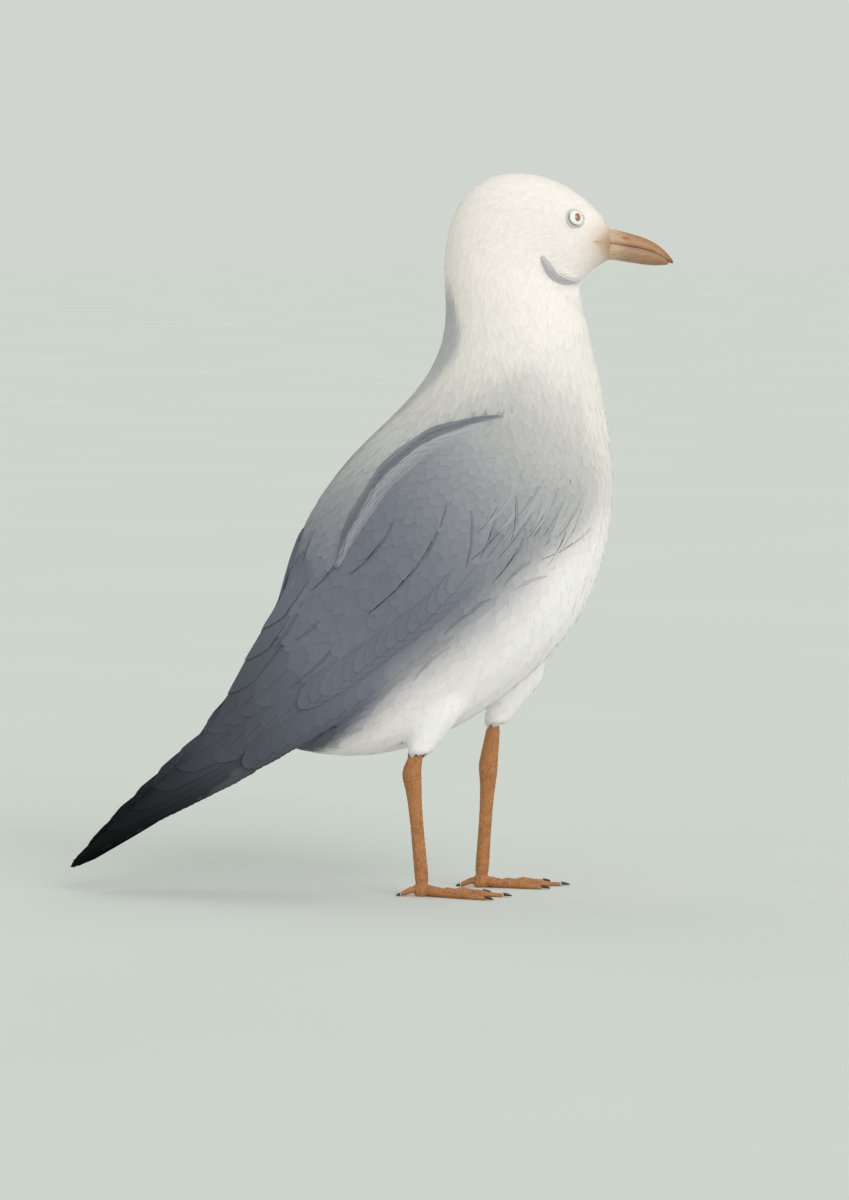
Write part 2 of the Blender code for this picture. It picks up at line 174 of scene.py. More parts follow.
def move_places(mesh: Mesh, places: Array) -> None:
    """Gives a mesh's vertices new places, in millimetres."""
    mesh.vertices.foreach_set("co", (places * MM).ravel())
    mesh.update()


def normals_of(mesh: Mesh) -> Array:
    """A mesh's vertex normals."""
    found = np.empty(len(mesh.vertices) * 3, np.float32)
    mesh.vertex_normals.foreach_get("vector", found)
    return found.reshape(-1, 3).astype(float)


def store(mesh: Mesh, name: str, colours: Array) -> None:
    """Stores one colour for each vertex in an attribute of the mesh."""
    full = np.ones((len(colours), 4), np.float32)
    full[:, : colours.shape[1]] = colours
    layer = mesh.attributes.new(name, "FLOAT_COLOR", "POINT")
    layer.data.foreach_set("color", full.ravel())


def store_values(mesh: Mesh, name: str, values: Array) -> None:
    """Stores one number for each vertex in an attribute of the mesh."""
    layer = mesh.attributes.new(name, "FLOAT", "POINT")
    layer.data.foreach_set("value", values.astype(np.float32))


def node_copy(name: str, nodes: list[str], grow: float) -> Object:
    """One object made of merged copies of CAD nodes.

    Args:
        name: the new object's name.
        nodes: the CAD nodes it copies.
        grow: how far each copy is swollen along its normals, in millimetres.

    Returns:
        The new object.
    """
    whole = bmesh.new()
    for node in nodes:
        part = bmesh.new()
        part.from_mesh(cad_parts[node].data)
        bmesh.ops.remove_doubles(part, verts=part.verts, dist=1e-6)
        part.normal_update()
        for corner in part.verts:
            corner.co += corner.normal * grow * MM
        mesh = bpy.data.meshes.new("part")
        part.to_mesh(mesh)
        part.free()
        whole.from_mesh(mesh)
        bpy.data.meshes.remove(mesh)
    mesh = bpy.data.meshes.new(name)
    whole.to_mesh(mesh)
    whole.free()
    mesh.materials.clear()
    return linked(name, mesh)


def keep_largest_shell(mesh: Mesh) -> None:
    """Removes every loose shell of a mesh but the largest."""
    shape = bmesh.new()
    shape.from_mesh(mesh)
    left, best = set(shape.verts), []
    while left:
        front = [left.pop()]
        shell = list(front)
        while front:
            corner = front.pop()
            for edge in corner.link_edges:
                other = edge.other_vert(corner)
                if other in left:
                    left.discard(other)
                    front.append(other)
                    shell.append(other)
        best = max(best, shell, key=len)
    keep = set(best)
    bmesh.ops.delete(shape, geom=[v for v in shape.verts if v not in keep], context="VERTS")
    shape.to_mesh(mesh)
    shape.free()


def remeshed(obj: Object, voxel: float, passes: int, shrink: float) -> None:
    """Makes one smooth closed shell of an object's solids.

    Args:
        obj: the object, whose solids overlap where they join.
        voxel: the size of the new faces, in millimetres.
        passes: how many times the surface is smoothed.
        shrink: how far the surface is then taken in, in millimetres.
    """
    applied(obj, "REMESH", mode="VOXEL", voxel_size=voxel * MM, use_smooth_shade=True)
    keep_largest_shell(obj.data)
    applied(obj, "SMOOTH", factor=0.5, iterations=passes)
    move_places(obj.data, places_of(obj.data) - normals_of(obj.data) * shrink)


def finished(obj: Object, material: Material, nodes: list[str]) -> None:
    """Dresses a piece and fixes it to the still body.

    Args:
        obj: the piece.
        material: its finish.
        nodes: the CAD nodes it stands for.
    """
    obj.data.materials.clear()
    obj.data.materials.append(material)
    obj.data.shade_smooth()
    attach(obj, "root")
    if nodes:
        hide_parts(*nodes)
    LOG.info("%-16s %7d faces", obj.name, len(obj.data.polygons))


# ----------------------------------------
# Finishes


class Graph:
    """A material's node tree, with short ways to add nodes and join them."""

    def __init__(self, name: str) -> None:
        """Starts a material with its shader alone."""
        self.material = bpy.data.materials.new(name)
        self.material.use_nodes = True
        self.tree = self.material.node_tree
        self.shader = self.tree.nodes["Principled BSDF"]

    def add(self, kind: str, links: dict | None = None, **settings: object) -> Node:
        """Adds a node.

        Args:
            kind: the node's type without its prefix.
            links: the values or output sockets for its inputs, by name or place.
            settings: the node's own properties.

        Returns:
            The new node.
        """
        node = self.tree.nodes.new("ShaderNode" + kind)
        for key, value in settings.items():
            setattr(node, key, value)
        for key, value in (links or {}).items():
            self.feed(node.inputs[key], value)
        return node

    def feed(self, socket: NodeSocket, value: object) -> None:
        """Links an output to a socket, or sets the socket to a plain value."""
        if isinstance(value, NodeSocket):
            self.tree.links.new(value, socket)
        else:
            socket.default_value = value

    def maths(self, operation: str, one: object, two: object = 0.0) -> NodeSocket:
        """The result of a Math node on two values or sockets."""
        return self.add("Math", {0: one, 1: two}, operation=operation).outputs[0]

    def blend(self, kind: str, share: object, one: object, two: object) -> NodeSocket:
        """The result of a colour mix: kind is the blend type, share that of the second colour."""
        node = self.add("Mix", data_type="RGBA", blend_type=kind)
        self.feed(node.inputs[0], share)
        self.feed(node.inputs[6], one)
        self.feed(node.inputs[7], two)
        return node.outputs[2]

    def spread(self, value: object, low: float, high: float, a: float, b: float) -> NodeSocket:
        """The value mapped from the range low to high onto the range a to b, and kept in it."""
        inputs = {0: value, 1: low, 2: high, 3: a, 4: b}
        return self.add("MapRange", inputs).outputs[0]

    def grain(self, where: object, scale: float, detail: float = 2.0) -> NodeSocket:
        """A noise value at a place, in features of 1 / scale."""
        return self.add("TexNoise", {"Vector": where, "Scale": scale, "Detail": detail}).outputs[0]

    def place(self) -> NodeSocket:
        """The place on the piece, in its own coordinates."""
        return self.add("TexCoord").outputs["Object"]

    def attribute(self, name: str) -> NodeSocket:
        """The number that an attribute of the mesh holds."""
        return self.add("Attribute", attribute_name=name).outputs["Fac"]

    def mottled(self, colour: object, grain: object, dark: float, light: float) -> NodeSocket:
        """A colour times a factor that runs from dark to light with a noise value."""
        return self.blend("MULTIPLY", 1.0, colour, self.spread(grain, 0.3, 0.7, dark, light))

    def bump(self, height: object, strength: float, distance: float) -> None:
        """Gives the shader a bump from a height; distance is in millimetres."""
        inputs = {"Height": height, "Strength": strength, "Distance": distance * MM}
        node = self.add("Bump", inputs)
        self.feed(self.shader.inputs["Normal"], node.outputs[0])

    def set(self, **values: object) -> None:
        """Sets the shader's own sockets: underscores in a name stand for spaces."""
        for key, value in values.items():
            self.feed(self.shader.inputs[key.replace("_", " ")], value)


@dataclass(frozen=True)
class Finish:
    """The finish of a piece or of several."""

    name: str

    def build(self) -> Material:
        """Makes the material."""
        graph = Graph(self.name)
        self.dress(graph)
        return graph.material

    def dress(self, graph: Graph) -> None:
        """Fills in the nodes."""
        raise NotImplementedError


@dataclass(frozen=True)
class FeatherFinish(Finish):
    """Feathers: their own plumage colour, with the fine streaks of their barbs and a shaft."""

    roughness: float
    streaks: float
    barbs: float
    shaft: float
    sheen: float
    gloss: float

    def dress(self, graph: Graph) -> None:
        """Fills in the nodes. The map named Vane gives places along and across each feather."""
        plumage = graph.add("Attribute", attribute_name="Plumage")
        vane = graph.add("UVMap", uv_map="Vane").outputs[0]
        axes = graph.add("SeparateXYZ", {0: vane})
        off_shaft = graph.maths("ABSOLUTE", axes.outputs[1])
        slant = graph.maths("SUBTRACT", axes.outputs[0], graph.maths("MULTIPLY", off_shaft, 1.1))
        own = graph.maths("MULTIPLY", plumage.outputs["Alpha"], 97.0)
        barb = graph.maths("MULTIPLY", slant, self.barbs)
        where = graph.add("CombineXYZ", {0: barb, 1: own, 2: 0.0})
        fine = graph.grain(where.outputs[0], 1.0, 3.0)
        dark, light = 1.0 - self.streaks, 1.0 + self.streaks * 0.6
        colour = graph.mottled(plumage.outputs["Color"], fine, dark, light)
        line = graph.spread(off_shaft, 0.012, 0.05, self.shaft, 0.0)
        colour = graph.blend("MULTIPLY", line, colour, (0.45, 0.43, 0.42, 1.0))
        graph.set(Base_Color=colour, Roughness=self.roughness, Sheen_Weight=self.sheen)
        graph.set(Sheen_Roughness=0.6, Specular_IOR_Level=self.gloss)
        graph.bump(fine, 0.3, 0.08)


def opaque(colour: tuple) -> tuple:
    """A paint given by its display values, as the four values of a colour socket."""
    return (*paint(*colour), 1.0)


@dataclass(frozen=True)
class SkinFinish(Finish):
    """The skin under the feathers, in the colour of the plumage over it."""

    def dress(self, graph: Graph) -> None:
        """Fills in the nodes."""
        plumage = graph.add("Attribute", attribute_name="Plumage")
        place = graph.place()
        down = graph.grain(place, 900.0, 4.0)
        colour = graph.mottled(plumage.outputs["Color"], down, 0.78, 0.95)
        graph.set(Base_Color=colour, Roughness=0.9)
        graph.bump(down, 0.5, 0.3)


@dataclass(frozen=True)
class HornFinish(Finish):
    """Horn of the bill: warm, streaked along its length, darker on the ridge and the mouth line."""

    root: tuple
    base: tuple
    tip: tuple
    stops: tuple = (99.5, 107.0, 125.0)

    def dress(self, graph: Graph) -> None:
        """Fills in the nodes."""
        place = graph.place()
        axes = graph.add("SeparateXYZ", {0: place})
        first, second, last = (x * MM for x in self.stops)
        near = graph.spread(axes.outputs[0], first, second, 0.0, 1.0)
        colour = graph.blend("MIX", near, opaque(self.root), opaque(self.base))
        further = graph.spread(axes.outputs[0], second, last, 0.0, 1.0)
        colour = graph.blend("MIX", further, colour, opaque(self.tip))
        colour = graph.blend("MULTIPLY", graph.attribute("Ridge"), colour, (0.66, 0.59, 0.52, 1.0))
        stretched = graph.add("Mapping", {0: place})
        stretched.inputs["Scale"].default_value = (220.0, 1500.0, 1500.0)
        streak = graph.grain(stretched.outputs[0], 1.0, 4.0)
        speck = graph.grain(place, 2600.0, 3.0)
        colour = graph.mottled(colour, streak, 0.84, 1.1)
        colour = graph.mottled(colour, speck, 0.88, 1.1)
        patch = graph.spread(graph.grain(place, 260.0, 2.0), 0.35, 0.7, 0.0, 0.25)
        colour = graph.blend("MULTIPLY", patch, colour, (0.7, 0.62, 0.55, 1.0))
        graph.set(Base_Color=colour, Roughness=graph.spread(streak, 0.3, 0.7, 0.34, 0.52))
        graph.set(Specular_IOR_Level=0.45, Coat_Weight=0.12, Coat_Roughness=0.35)
        graph.bump(graph.maths("ADD", streak, graph.maths("MULTIPLY", speck, 0.4)), 0.5, 0.12)


@dataclass(frozen=True)
class LegFinish(Finish):
    """Scaly leg skin: orange-brown scutes with darker grooves and paler patches."""

    colour: tuple
    groove: tuple

    def dress(self, graph: Graph) -> None:
        """Fills in the nodes."""
        place = graph.place()
        wide = graph.add("Mapping", {0: place})
        wide.inputs["Scale"].default_value = (1.0, 1.0, 1.35)
        inputs = {"Vector": wide.outputs[0], "Scale": 950.0}
        cells = graph.add("TexVoronoi", inputs, feature="DISTANCE_TO_EDGE")
        groove = graph.spread(cells.outputs["Distance"], 0.02, 0.16, 0.0, 1.0)
        tint = graph.grain(place, 330.0, 3.0)
        speck = graph.grain(place, 3200.0, 2.0)
        skin, dark = opaque(self.colour), opaque(self.groove)
        colour = graph.blend("MIX", graph.spread(groove, 0.0, 1.0, 0.45, 1.0), dark, skin)
        colour = graph.mottled(colour, tint, 0.82, 1.12)
        colour = graph.mottled(colour, speck, 0.9, 1.08)
        graph.set(Base_Color=colour, Roughness=graph.spread(tint, 0.3, 0.7, 0.46, 0.62))
        graph.set(Specular_IOR_Level=0.4)
        graph.bump(graph.maths("ADD", groove, graph.maths("MULTIPLY", speck, 0.25)), 0.55, 0.18)


@dataclass(frozen=True)
class ClawFinish(Finish):
    """Dark horn of the claws, paler towards the toe."""

    def dress(self, graph: Graph) -> None:
        """Fills in the nodes."""
        place = graph.place()
        streak = graph.grain(place, 1800.0, 4.0)
        dark, light = opaque((34, 28, 25)), opaque((78, 62, 50))
        colour = graph.blend("MIX", graph.spread(streak, 0.35, 0.7, 0.0, 1.0), dark, light)
        graph.set(Base_Color=colour, Roughness=graph.spread(streak, 0.3, 0.7, 0.3, 0.45))
        graph.bump(streak, 0.3, 0.1)


@dataclass(frozen=True)
class IrisFinish(Finish):
    """The eyeball: a small brown pupil in a white iris with fine rays, under a clear wet coat."""

    pupil: float
    iris: float

    def dress(self, graph: Graph) -> None:
        """Fills in the nodes. The attribute Ring holds each point's way from the pupil's middle."""
        place = graph.place()
        ray = graph.grain(place, 4200.0, 3.0)
        wobble = graph.spread(ray, 0.3, 0.7, -0.05, 0.05)
        wobble = graph.maths("ADD", graph.attribute("Ring"), wobble)
        shade, light = opaque((236, 233, 228)), opaque((255, 255, 253))
        white = graph.blend("MIX", graph.spread(ray, 0.3, 0.7, 0.0, 1.0), shade, light)
        brown, limbus = opaque((146, 102, 70)), opaque((206, 204, 202))
        inner = graph.spread(wobble, self.pupil - 0.06, self.pupil + 0.06, 0.0, 1.0)
        outer = graph.spread(wobble, self.iris - 0.15, self.iris + 0.1, 0.0, 1.0)
        colour = graph.blend("MIX", inner, brown, white)
        colour = graph.blend("MIX", outer, colour, limbus)
        graph.set(Base_Color=colour, Roughness=0.2, Coat_Weight=1.0, Coat_Roughness=0.03)


@dataclass(frozen=True)
class LidFinish(Finish):
    """The bare ring of the eyelids, with painted shade below and behind the eye."""

    colour: tuple
    shadow: tuple

    def dress(self, graph: Graph) -> None:
        """Fills in the nodes."""
        place = graph.place()
        fine = graph.grain(place, 5200.0, 3.0)
        # Ring holds the share of painted shade, below and behind the eye
        share = graph.attribute("Ring")
        colour = graph.blend("MIX", share, opaque(self.colour), opaque(self.shadow))
        colour = graph.mottled(colour, fine, 0.8, 1.12)
        graph.set(Base_Color=colour, Roughness=0.55)
        graph.bump(fine, 0.5, 0.1)


@dataclass(frozen=True)
class FloorFinish(Finish):
    """A matt pale floor."""

    colour: tuple

    def dress(self, graph: Graph) -> None:
        """Fills in the nodes."""
        place = graph.place()
        colour = graph.mottled(opaque(self.colour), graph.grain(place, 3.0, 2.0), 0.985, 1.015)
        graph.set(Base_Color=colour, Roughness=0.9)


# ----------------------------------------
# Where things are on the bird


@dataclass(frozen=True)
class WingPlan:
    """The folded wing seen from the side: s runs from its bend to its tip, t up across it.

    The large feathers begin at s = flight.
    """

    bend: tuple = (94.0, 166.0)
    along: tuple = (-0.819, -0.5735)
    across: tuple = (-0.5735, 0.819)
    flight: float = 125.0
    upper: tuple = (
        (4, 39), (19, 54), (41, 63), (67, 63), (92, 56), (118, 48), (141, 38),
        (160, 29), (181, 18), (203, 9), (224, 7), (244, 5), (268, 0),
    )
    lower: tuple = (
        (2, -4), (13, -10), (26, -8), (46, -6), (66, -9), (90, -14), (112, -15),
        (134, -16), (154, -15), (169, -14), (189, -12), (207, -10), (226, -6), (246, -4),
    )

    def local(self, places: Array) -> tuple[Array, Array]:
        """The s and t of places, given as rows of x, y and z."""
        x, z = places[..., 0] - self.bend[0], places[..., 2] - self.bend[1]
        s = x * self.along[0] + z * self.along[1]
        t = x * self.across[0] + z * self.across[1]
        return s, t

    def upper_edge(self, s: Array) -> Array:
        """The t of the wing's upper edge at s."""
        return read_off(self.upper, s)

    def lower_edge(self, s: Array) -> Array:
        """The t of the wing's lower edge at s."""
        return read_off(self.lower, s)

    def place(self, s: float, t: float) -> tuple[float, float]:
        """The x and z of a place given along and across the wing."""
        x = self.bend[0] + s * self.along[0] + t * self.across[0]
        z = self.bend[1] + s * self.along[1] + t * self.across[1]
        return x, z

    def within(self, flat: Array) -> Array:
        """Rows of x and z, moved down onto the rear of the wing from over its upper edge."""
        s, t = self.local(np.stack([flat[:, 0], flat[:, 0], flat[:, 1]], 1))
        over = np.maximum(t - self.upper_edge(s) + 1.2, 0.0)
        over = over * smoothstep(112.0, 140.0, s) * fade(172.0, 206.0, s)
        return flat - over[:, None] * np.array(self.across)

    def hollow(self, places: Array) -> Array:
        """How much a place lies on the rump, between the folded wings, from 0 to 1."""
        s, t = self.local(places)
        y = np.abs(places[..., 1])
        below = self.upper_edge(s) - t
        inside = smoothstep(-0.6, 0.6, below - 2.6 - 0.023 * y**2)
        inside = inside * fade(10.5, 12.0, y)
        return inside * smoothstep(128.0, 140.0, s) * fade(15.0, 19.0, below)

    def cover(self, places: Array, soft: float = 3.0) -> Array:
        """How much a place belongs to a wing's outer face, from 0 to 1."""
        s, t = self.local(places)
        inside = smoothstep(-soft, soft, t - self.lower_edge(s))
        inside *= smoothstep(-soft, soft, self.upper_edge(s) - t + 2.0)
        inside *= smoothstep(-2.0, 6.0, s)
        return inside * smoothstep(12.0, 20.0, np.abs(places[..., 1]) + s * 0.1)


@dataclass(frozen=True)
class Lie:
    """How the plumage lies: a line through the body from bill to tail gives its direction."""

    wing: WingPlan
    spine: tuple = (
        (99, 272), (88, 277), (72, 281), (58, 272), (54, 255), (60, 232), (62, 212),
        (55, 190), (40, 160), (18, 128), (-12, 98), (-45, 72), (-90, 38),
    )

    def station(self, places: Array) -> tuple[Array, Array]:
        """Where places are on the body.

        Args:
            places: rows of x, y and z.

        Returns:
            The running length along the line, and the angle round it, 0 at the back.
        """
        starts, ways, lengths, runs = stretches(self.spine)
        flat = places[:, [0, 2]]
        reach = np.clip(((flat[:, None] - starts) * ways).sum(-1), 0, lengths)
        foot = starts + ways * reach[..., None]
        apart = ((flat[:, None] - foot) ** 2).sum(-1)
        near = apart.argmin(1)
        rows = np.arange(len(flat))
        offset = flat - foot[rows, near]
        up = np.stack([ways[near, 1], -ways[near, 0]], 1)
        angle = np.arctan2(places[:, 1], (offset * up).sum(1))
        return runs[near] + reach[rows, near], angle

    def direction(self, places: Array, normals: Array) -> Array:
        """The way that feathers point at places on the surface, as unit vectors in the surface."""
        starts, ways, lengths, _ = stretches(self.spine)
        flat = places[:, [0, 2]]
        reach = np.clip(((flat[:, None] - starts) * ways).sum(-1), 0, lengths)
        apart = ((flat[:, None] - starts - ways * reach[..., None]) ** 2).sum(-1) + 9.0
        weight = 1.0 / apart
        body = (ways * weight[..., None]).sum(1) / weight.sum(1)[:, None]
        s, t = self.wing.local(places)
        turn = np.interp(s, (0, 30, 60, 120, 170), (243.0, 236.0, 227.0, 217.0, 211.0))
        turn = np.radians(turn + np.clip((t - 20.0) * 0.25, -6.0, 8.0))
        wing = np.stack([np.cos(turn), np.sin(turn)], 1)
        flow = mixed(body, wing, self.wing.cover(places, 6.0))
        leg = thigh_share(places)
        flow = mixed(flow, np.broadcast_to(np.array((-0.12, -1.0)), flow.shape), leg)
        full = np.stack([flow[:, 0], np.zeros(len(flow)), flow[:, 1]], 1)
        full -= normals * (full * normals).sum(1)[:, None]
        return unit(full)


@dataclass(frozen=True)
class Thigh:
    """A feathered thigh: the middle of its lower end, and how far up it reaches."""

    x: float
    y: float
    end: float

    def share(self, places: Array) -> Array:
        """How much a place belongs to this thigh, from 0 to 1."""
        lean = (places[:, 2] - self.end) * 0.4
        aside = np.hypot(places[:, 0] - self.x - lean, places[:, 1] - self.y)
        near = fade(8.0, 14.0, aside)
        return near * fade(self.end + 10.0, self.end + 20.0, places[:, 2])


def thigh_of(side: Side) -> Thigh:
    """The thigh on one side, read from its CAD node."""
    low, high = (np.array(corner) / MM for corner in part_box("leg_" + side.label))
    thigh_end = np.array(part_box("thigh_" + side.label)[0]) / MM
    return Thigh((low[0] + high[0]) / 2, (low[1] + high[1]) / 2, max(thigh_end[2], high[2]))


THIGHS = tuple(thigh_of(side) for side in Side)


def thigh_share(places: Array) -> Array:
    """How much a place belongs to either thigh, from 0 to 1."""
    return np.maximum(THIGHS[0].share(places), THIGHS[1].share(places))


@dataclass(frozen=True)
class Eyes:
    """Where the eyes look, and the sizes of their parts."""

    centre: tuple = (83.2, 12.7, 282.2)
    look: tuple = (0.47, 0.845, 0.255)
    radius: float = 5.2
    opening: float = 3.2
    iris: float = 3.3
    pupil: float = 1.45

    def axis(self, side: Side) -> Array:
        """The way this side's eye looks."""
        return unit(np.array((self.look[0], self.look[1] * side.value, self.look[2])))

    def middle(self, side: Side) -> Array:
        """The middle of this side's eyeball."""
        return np.array((self.centre[0], self.centre[1] * side.value, self.centre[2]))

    def clearance(self, places: Array) -> Array:
        """How far places are from the nearer eye's line of sight."""
        found = []
        for side in Side:
            offset = places - self.middle(side)
            along = (offset * self.axis(side)).sum(-1)
            aside = np.linalg.norm(offset - along[..., None] * self.axis(side), axis=-1)
            found.append(np.where(along > 0, aside, 99.0))
        return np.minimum(*found)

    def inside(self, places: Array) -> Array:
        """True where a place is in an eye's socket."""
        near = [np.linalg.norm(places - self.middle(side), axis=-1) for side in Side]
        return np.minimum(*near) < self.radius + 0.75


@dataclass(frozen=True)
class Stroke:
    """A soft line of colour on the plumage, seen from the side, that thins towards its ends.

    A strip of the width apart to each side of the bird's middle stays free of it.
    """

    points: tuple
    colour: tuple
    width: float
    strength: float
    offset: float = 0.0
    apart: float = 0.0

    def share(self, places: Array) -> Array:
        """How much of the stroke's colour a place has, from 0 to 1."""
        starts, ways, lengths, runs = stretches(self.points)
        offset = places[..., None, :][..., [0, 2]] - starts
        reach = np.clip((offset * ways).sum(-1), 0, lengths)
        foot = offset - ways * reach[..., None]
        apart = np.linalg.norm(foot, axis=-1)
        near = apart.argmin(-1)[..., None]
        left = ways[:, 0] * foot[..., 1] - ways[:, 1] * foot[..., 0]
        signed = np.take_along_axis(np.where(left >= 0, apart, -apart), near, -1)[..., 0]
        along = np.take_along_axis(runs + reach, near, -1)[..., 0] / lengths.sum()
        body = np.sin(np.clip(along, 0, 1) * math.pi) ** 0.6
        across = (signed - self.offset) / (self.width * np.maximum(body, 0.05))
        inner = smoothstep(0.0, 0.04, along) * fade(0.96, 1.0, along)
        beside = smoothstep(self.apart - 4.0, self.apart, np.abs(places[..., 1]))
        return self.strength * inner * beside * np.exp(-(across**2) * 2.0)


@dataclass(frozen=True)
class Marking:
    """The colours of the plumage, given by place alone, so that skin and feathers agree."""

    wing: WingPlan
    white: tuple = (245, 236, 232)
    # paler and bluer than the head's white: painted light that lifts the shade on the belly and
    # thighs
    underside_brightened: tuple = (252, 246, 245)
    rump: tuple = (240, 238, 235)
    lores: tuple = (208, 187, 166)
    bill_edge: tuple = (178, 146, 118)
    # the grey of the painted shade down the hind neck
    hind_neck: tuple = (160, 160, 168)
    # how far along the wing each grey is, from the bend to the black tip
    greys: tuple = (
        (-40, 245, 236, 232), (-26, 236, 230, 226), (-18, 229, 225, 221), (-10, 211, 207, 204),
        (0, 194, 192, 191), (10, 181, 179, 181), (20, 168, 168, 171), (30, 156, 156, 161),
        (50, 137, 139, 148), (70, 121, 124, 136), (90, 112, 115, 129), (130, 114, 117, 132),
        (150, 98, 101, 113), (170, 80, 82, 92), (190, 76, 78, 87), (210, 48, 49, 55),
        (230, 22, 22, 25), (250, 9, 9, 10), (268, 6, 6, 7),
    )
    # the middle of the soft edge of the white underparts, across the wing; the grey that reaches
    # below the wing's lower edge onto the flank is painted shade under the wing
    edge: tuple = (
        (-30, 4), (-10, 1), (10, -6), (30, -8.3), (50, -13), (70, -15.8), (90, -16),
        (110, -16.7), (130, -21.5), (150, -22), (165, -19), (270, -19),
    )
    edge_softness: tuple = ((0, 22), (30, 27), (50, 34), (90, 34), (110, 29), (130, 17), (150, 6))
    # the edge of the shoulder feathers, across the wing
    shoulder: tuple = ((6, 47.5), (41, 63.3), (65, 62.0), (90, 51.6), (103, 40.3))
    # x of the line of the back at each z, and how wide the strip of painted shade down it is
    back_line: tuple = (
        (140, -36.5), (152.5, -31.9), (161, -28.1), (172.5, -19.7), (184, -9.2), (196.5, 3.4),
        (206, 13.9), (216, 22.3), (227, 28.6), (236.5, 31.1), (249, 31.5), (265, 31.1),
    )
    shade_strip_width: tuple = (
        (150, 2.8), (196, 2.6), (206, 3.4), (216, 5.6),
        (227, 7.8), (236, 6.8), (249, 3.4), (258, 1.5),
    )
    # the chin's painted highlight against the shade under it, the painted shadow along the
    # shoulder's edge and its pale band, the cheek's crescent of painted shade, the corner and the
    # line of the mouth
    strokes: tuple = (
        # painted highlight under the chin, lifting the shade that falls there
        Stroke(((84, 251), (92, 257), (101, 263)), (255, 252, 249), 5.0, 0.8),
        # painted shadow along the shoulder's edge, where its feathers overlap the wing
        Stroke(
            ((63, 202.2), (54, 201.6), (44, 199.7), (24, 193.5), (6, 179), (-9, 156), (-16, 140)),
            (104, 107, 119), 1.9, 0.7, -0.6,
        ),
        Stroke(
            ((56, 200), (40, 197.5), (22, 190), (5, 175), (-9, 152), (-15, 138)),
            (186, 186, 190), 2.8, 0.4, 0.6,
        ),
        # the cheek's crescent of painted shade, along the fold under the face
        Stroke(
            ((70, 267), (73.5, 260.5), (80, 256.3), (88, 256.5), (98, 262.5)),
            (160, 159, 166), 2.2, 0.6, 0.0, 7.0,
        ),
        Stroke(((92.5, 273.3), (102, 271.8), (112, 270)), (168, 136, 106), 4.2, 0.75),
        Stroke(
            ((91.5, 273.4), (97.5, 272.9), (104, 271.2), (110, 269.6)), (132, 95, 68), 0.9, 0.8
        ),
    )

    def grey_share(self, places: Array) -> Array:
        """How much of the grey mantle's colour a place has, from 0 to 1."""
        s, t = self.wing.local(places)
        off_edge = t - read_off(self.edge, s)
        return smoothstep(-0.5, 0.5, off_edge / read_off(self.edge_softness, s))

    def grey(self, places: Array) -> Array:
        """The grey of the mantle and wing at places: paler up the neck and above the shoulder."""
        x, z = places[..., 0], places[..., 2]
        s, t = self.wing.local(places)
        chest = np.clip(x - 86.0, 0.0, 16.0) * smoothstep(150.0, 176.0, z)
        fore = 0.836 * s + 6.2 - 0.157 * t - chest
        rear = 0.607 * (240.0 - z) - 0.595 * np.maximum(x - 60.0, 0.0) - 20.0
        rear = rear + 0.4 * np.maximum(s - 60.0, 0.0)
        rear = rear - 8.5 * smoothstep(58.0, 70.0, t)
        above = smoothstep(-2.0, 3.0, t - read_off(self.shoulder, s))
        s = fore + (s - fore) * smoothstep(20.0, 60.0, s)
        s = s + (rear - s) * above * fade(105.0, 125.0, s)
        stops = np.array([row[0] for row in self.greys], float)
        tones = np.array([paint(*row[1:]) for row in self.greys])
        return np.stack([np.interp(s, stops, tones[:, i]) for i in range(3)], -1)

    def nape_shade(self, places: Array) -> Array:
        """How much a place belongs to the strip of painted shade down the hind neck and the back.
        """
        z = places[..., 2]
        behind = places[..., 0] - read_off(self.back_line, z)
        inside = fade(0.5, 1.3, behind / read_off(self.shade_strip_width, z))
        return inside * fade(246.0, 263.0, z) * smoothstep(134.0, 150.0, z)

    def colour(self, places: Array) -> Array:
        """The plumage colour at places, in linear red, green and blue."""
        z = places[..., 2]
        # the underparts are painted paler, as painted light against the shade that falls on them
        base = mixed(paint(*self.underside_brightened), paint(*self.white), smoothstep(120.0, 220.0, z))
        base = mixed(base, self.grey(places), self.grey_share(places))
        base = mixed(base, paint(*self.rump), self.rump_share(places))
        # painted shade along the rear edge: grey on the hind neck, a darkening lower down the back
        shade_strip, high = self.nape_shade(places), smoothstep(206.0, 222.0, z)
        base = mixed(base, paint(*self.hind_neck), shade_strip * high * 0.72)
        base = base * (1.0 - 0.26 * shade_strip * (1.0 - high))[..., None]
        for stroke in self.strokes:
            base = mixed(base, paint(*stroke.colour), stroke.share(places))
        offset = (places - np.array((102.0, 0.0, 272.0))) * np.array((0.75, 0.5, 1.1))
        near = np.linalg.norm(offset, axis=-1)
        base = mixed(base, paint(*self.lores), fade(4.0, 17.0, near) * 0.85)
        return mixed(base, paint(*self.bill_edge), fade(3.0, 9.5, near) * 0.9)

    def rump_share(self, places: Array) -> Array:
        """How much of the rump's white a place has."""
        s, _ = self.wing.local(places)
        share = self.wing.hollow(places) * smoothstep(158.0, 172.0, s)
        return share * fade(212.0, 218.0, s)


# ----------------------------------------
# The body under the feathers


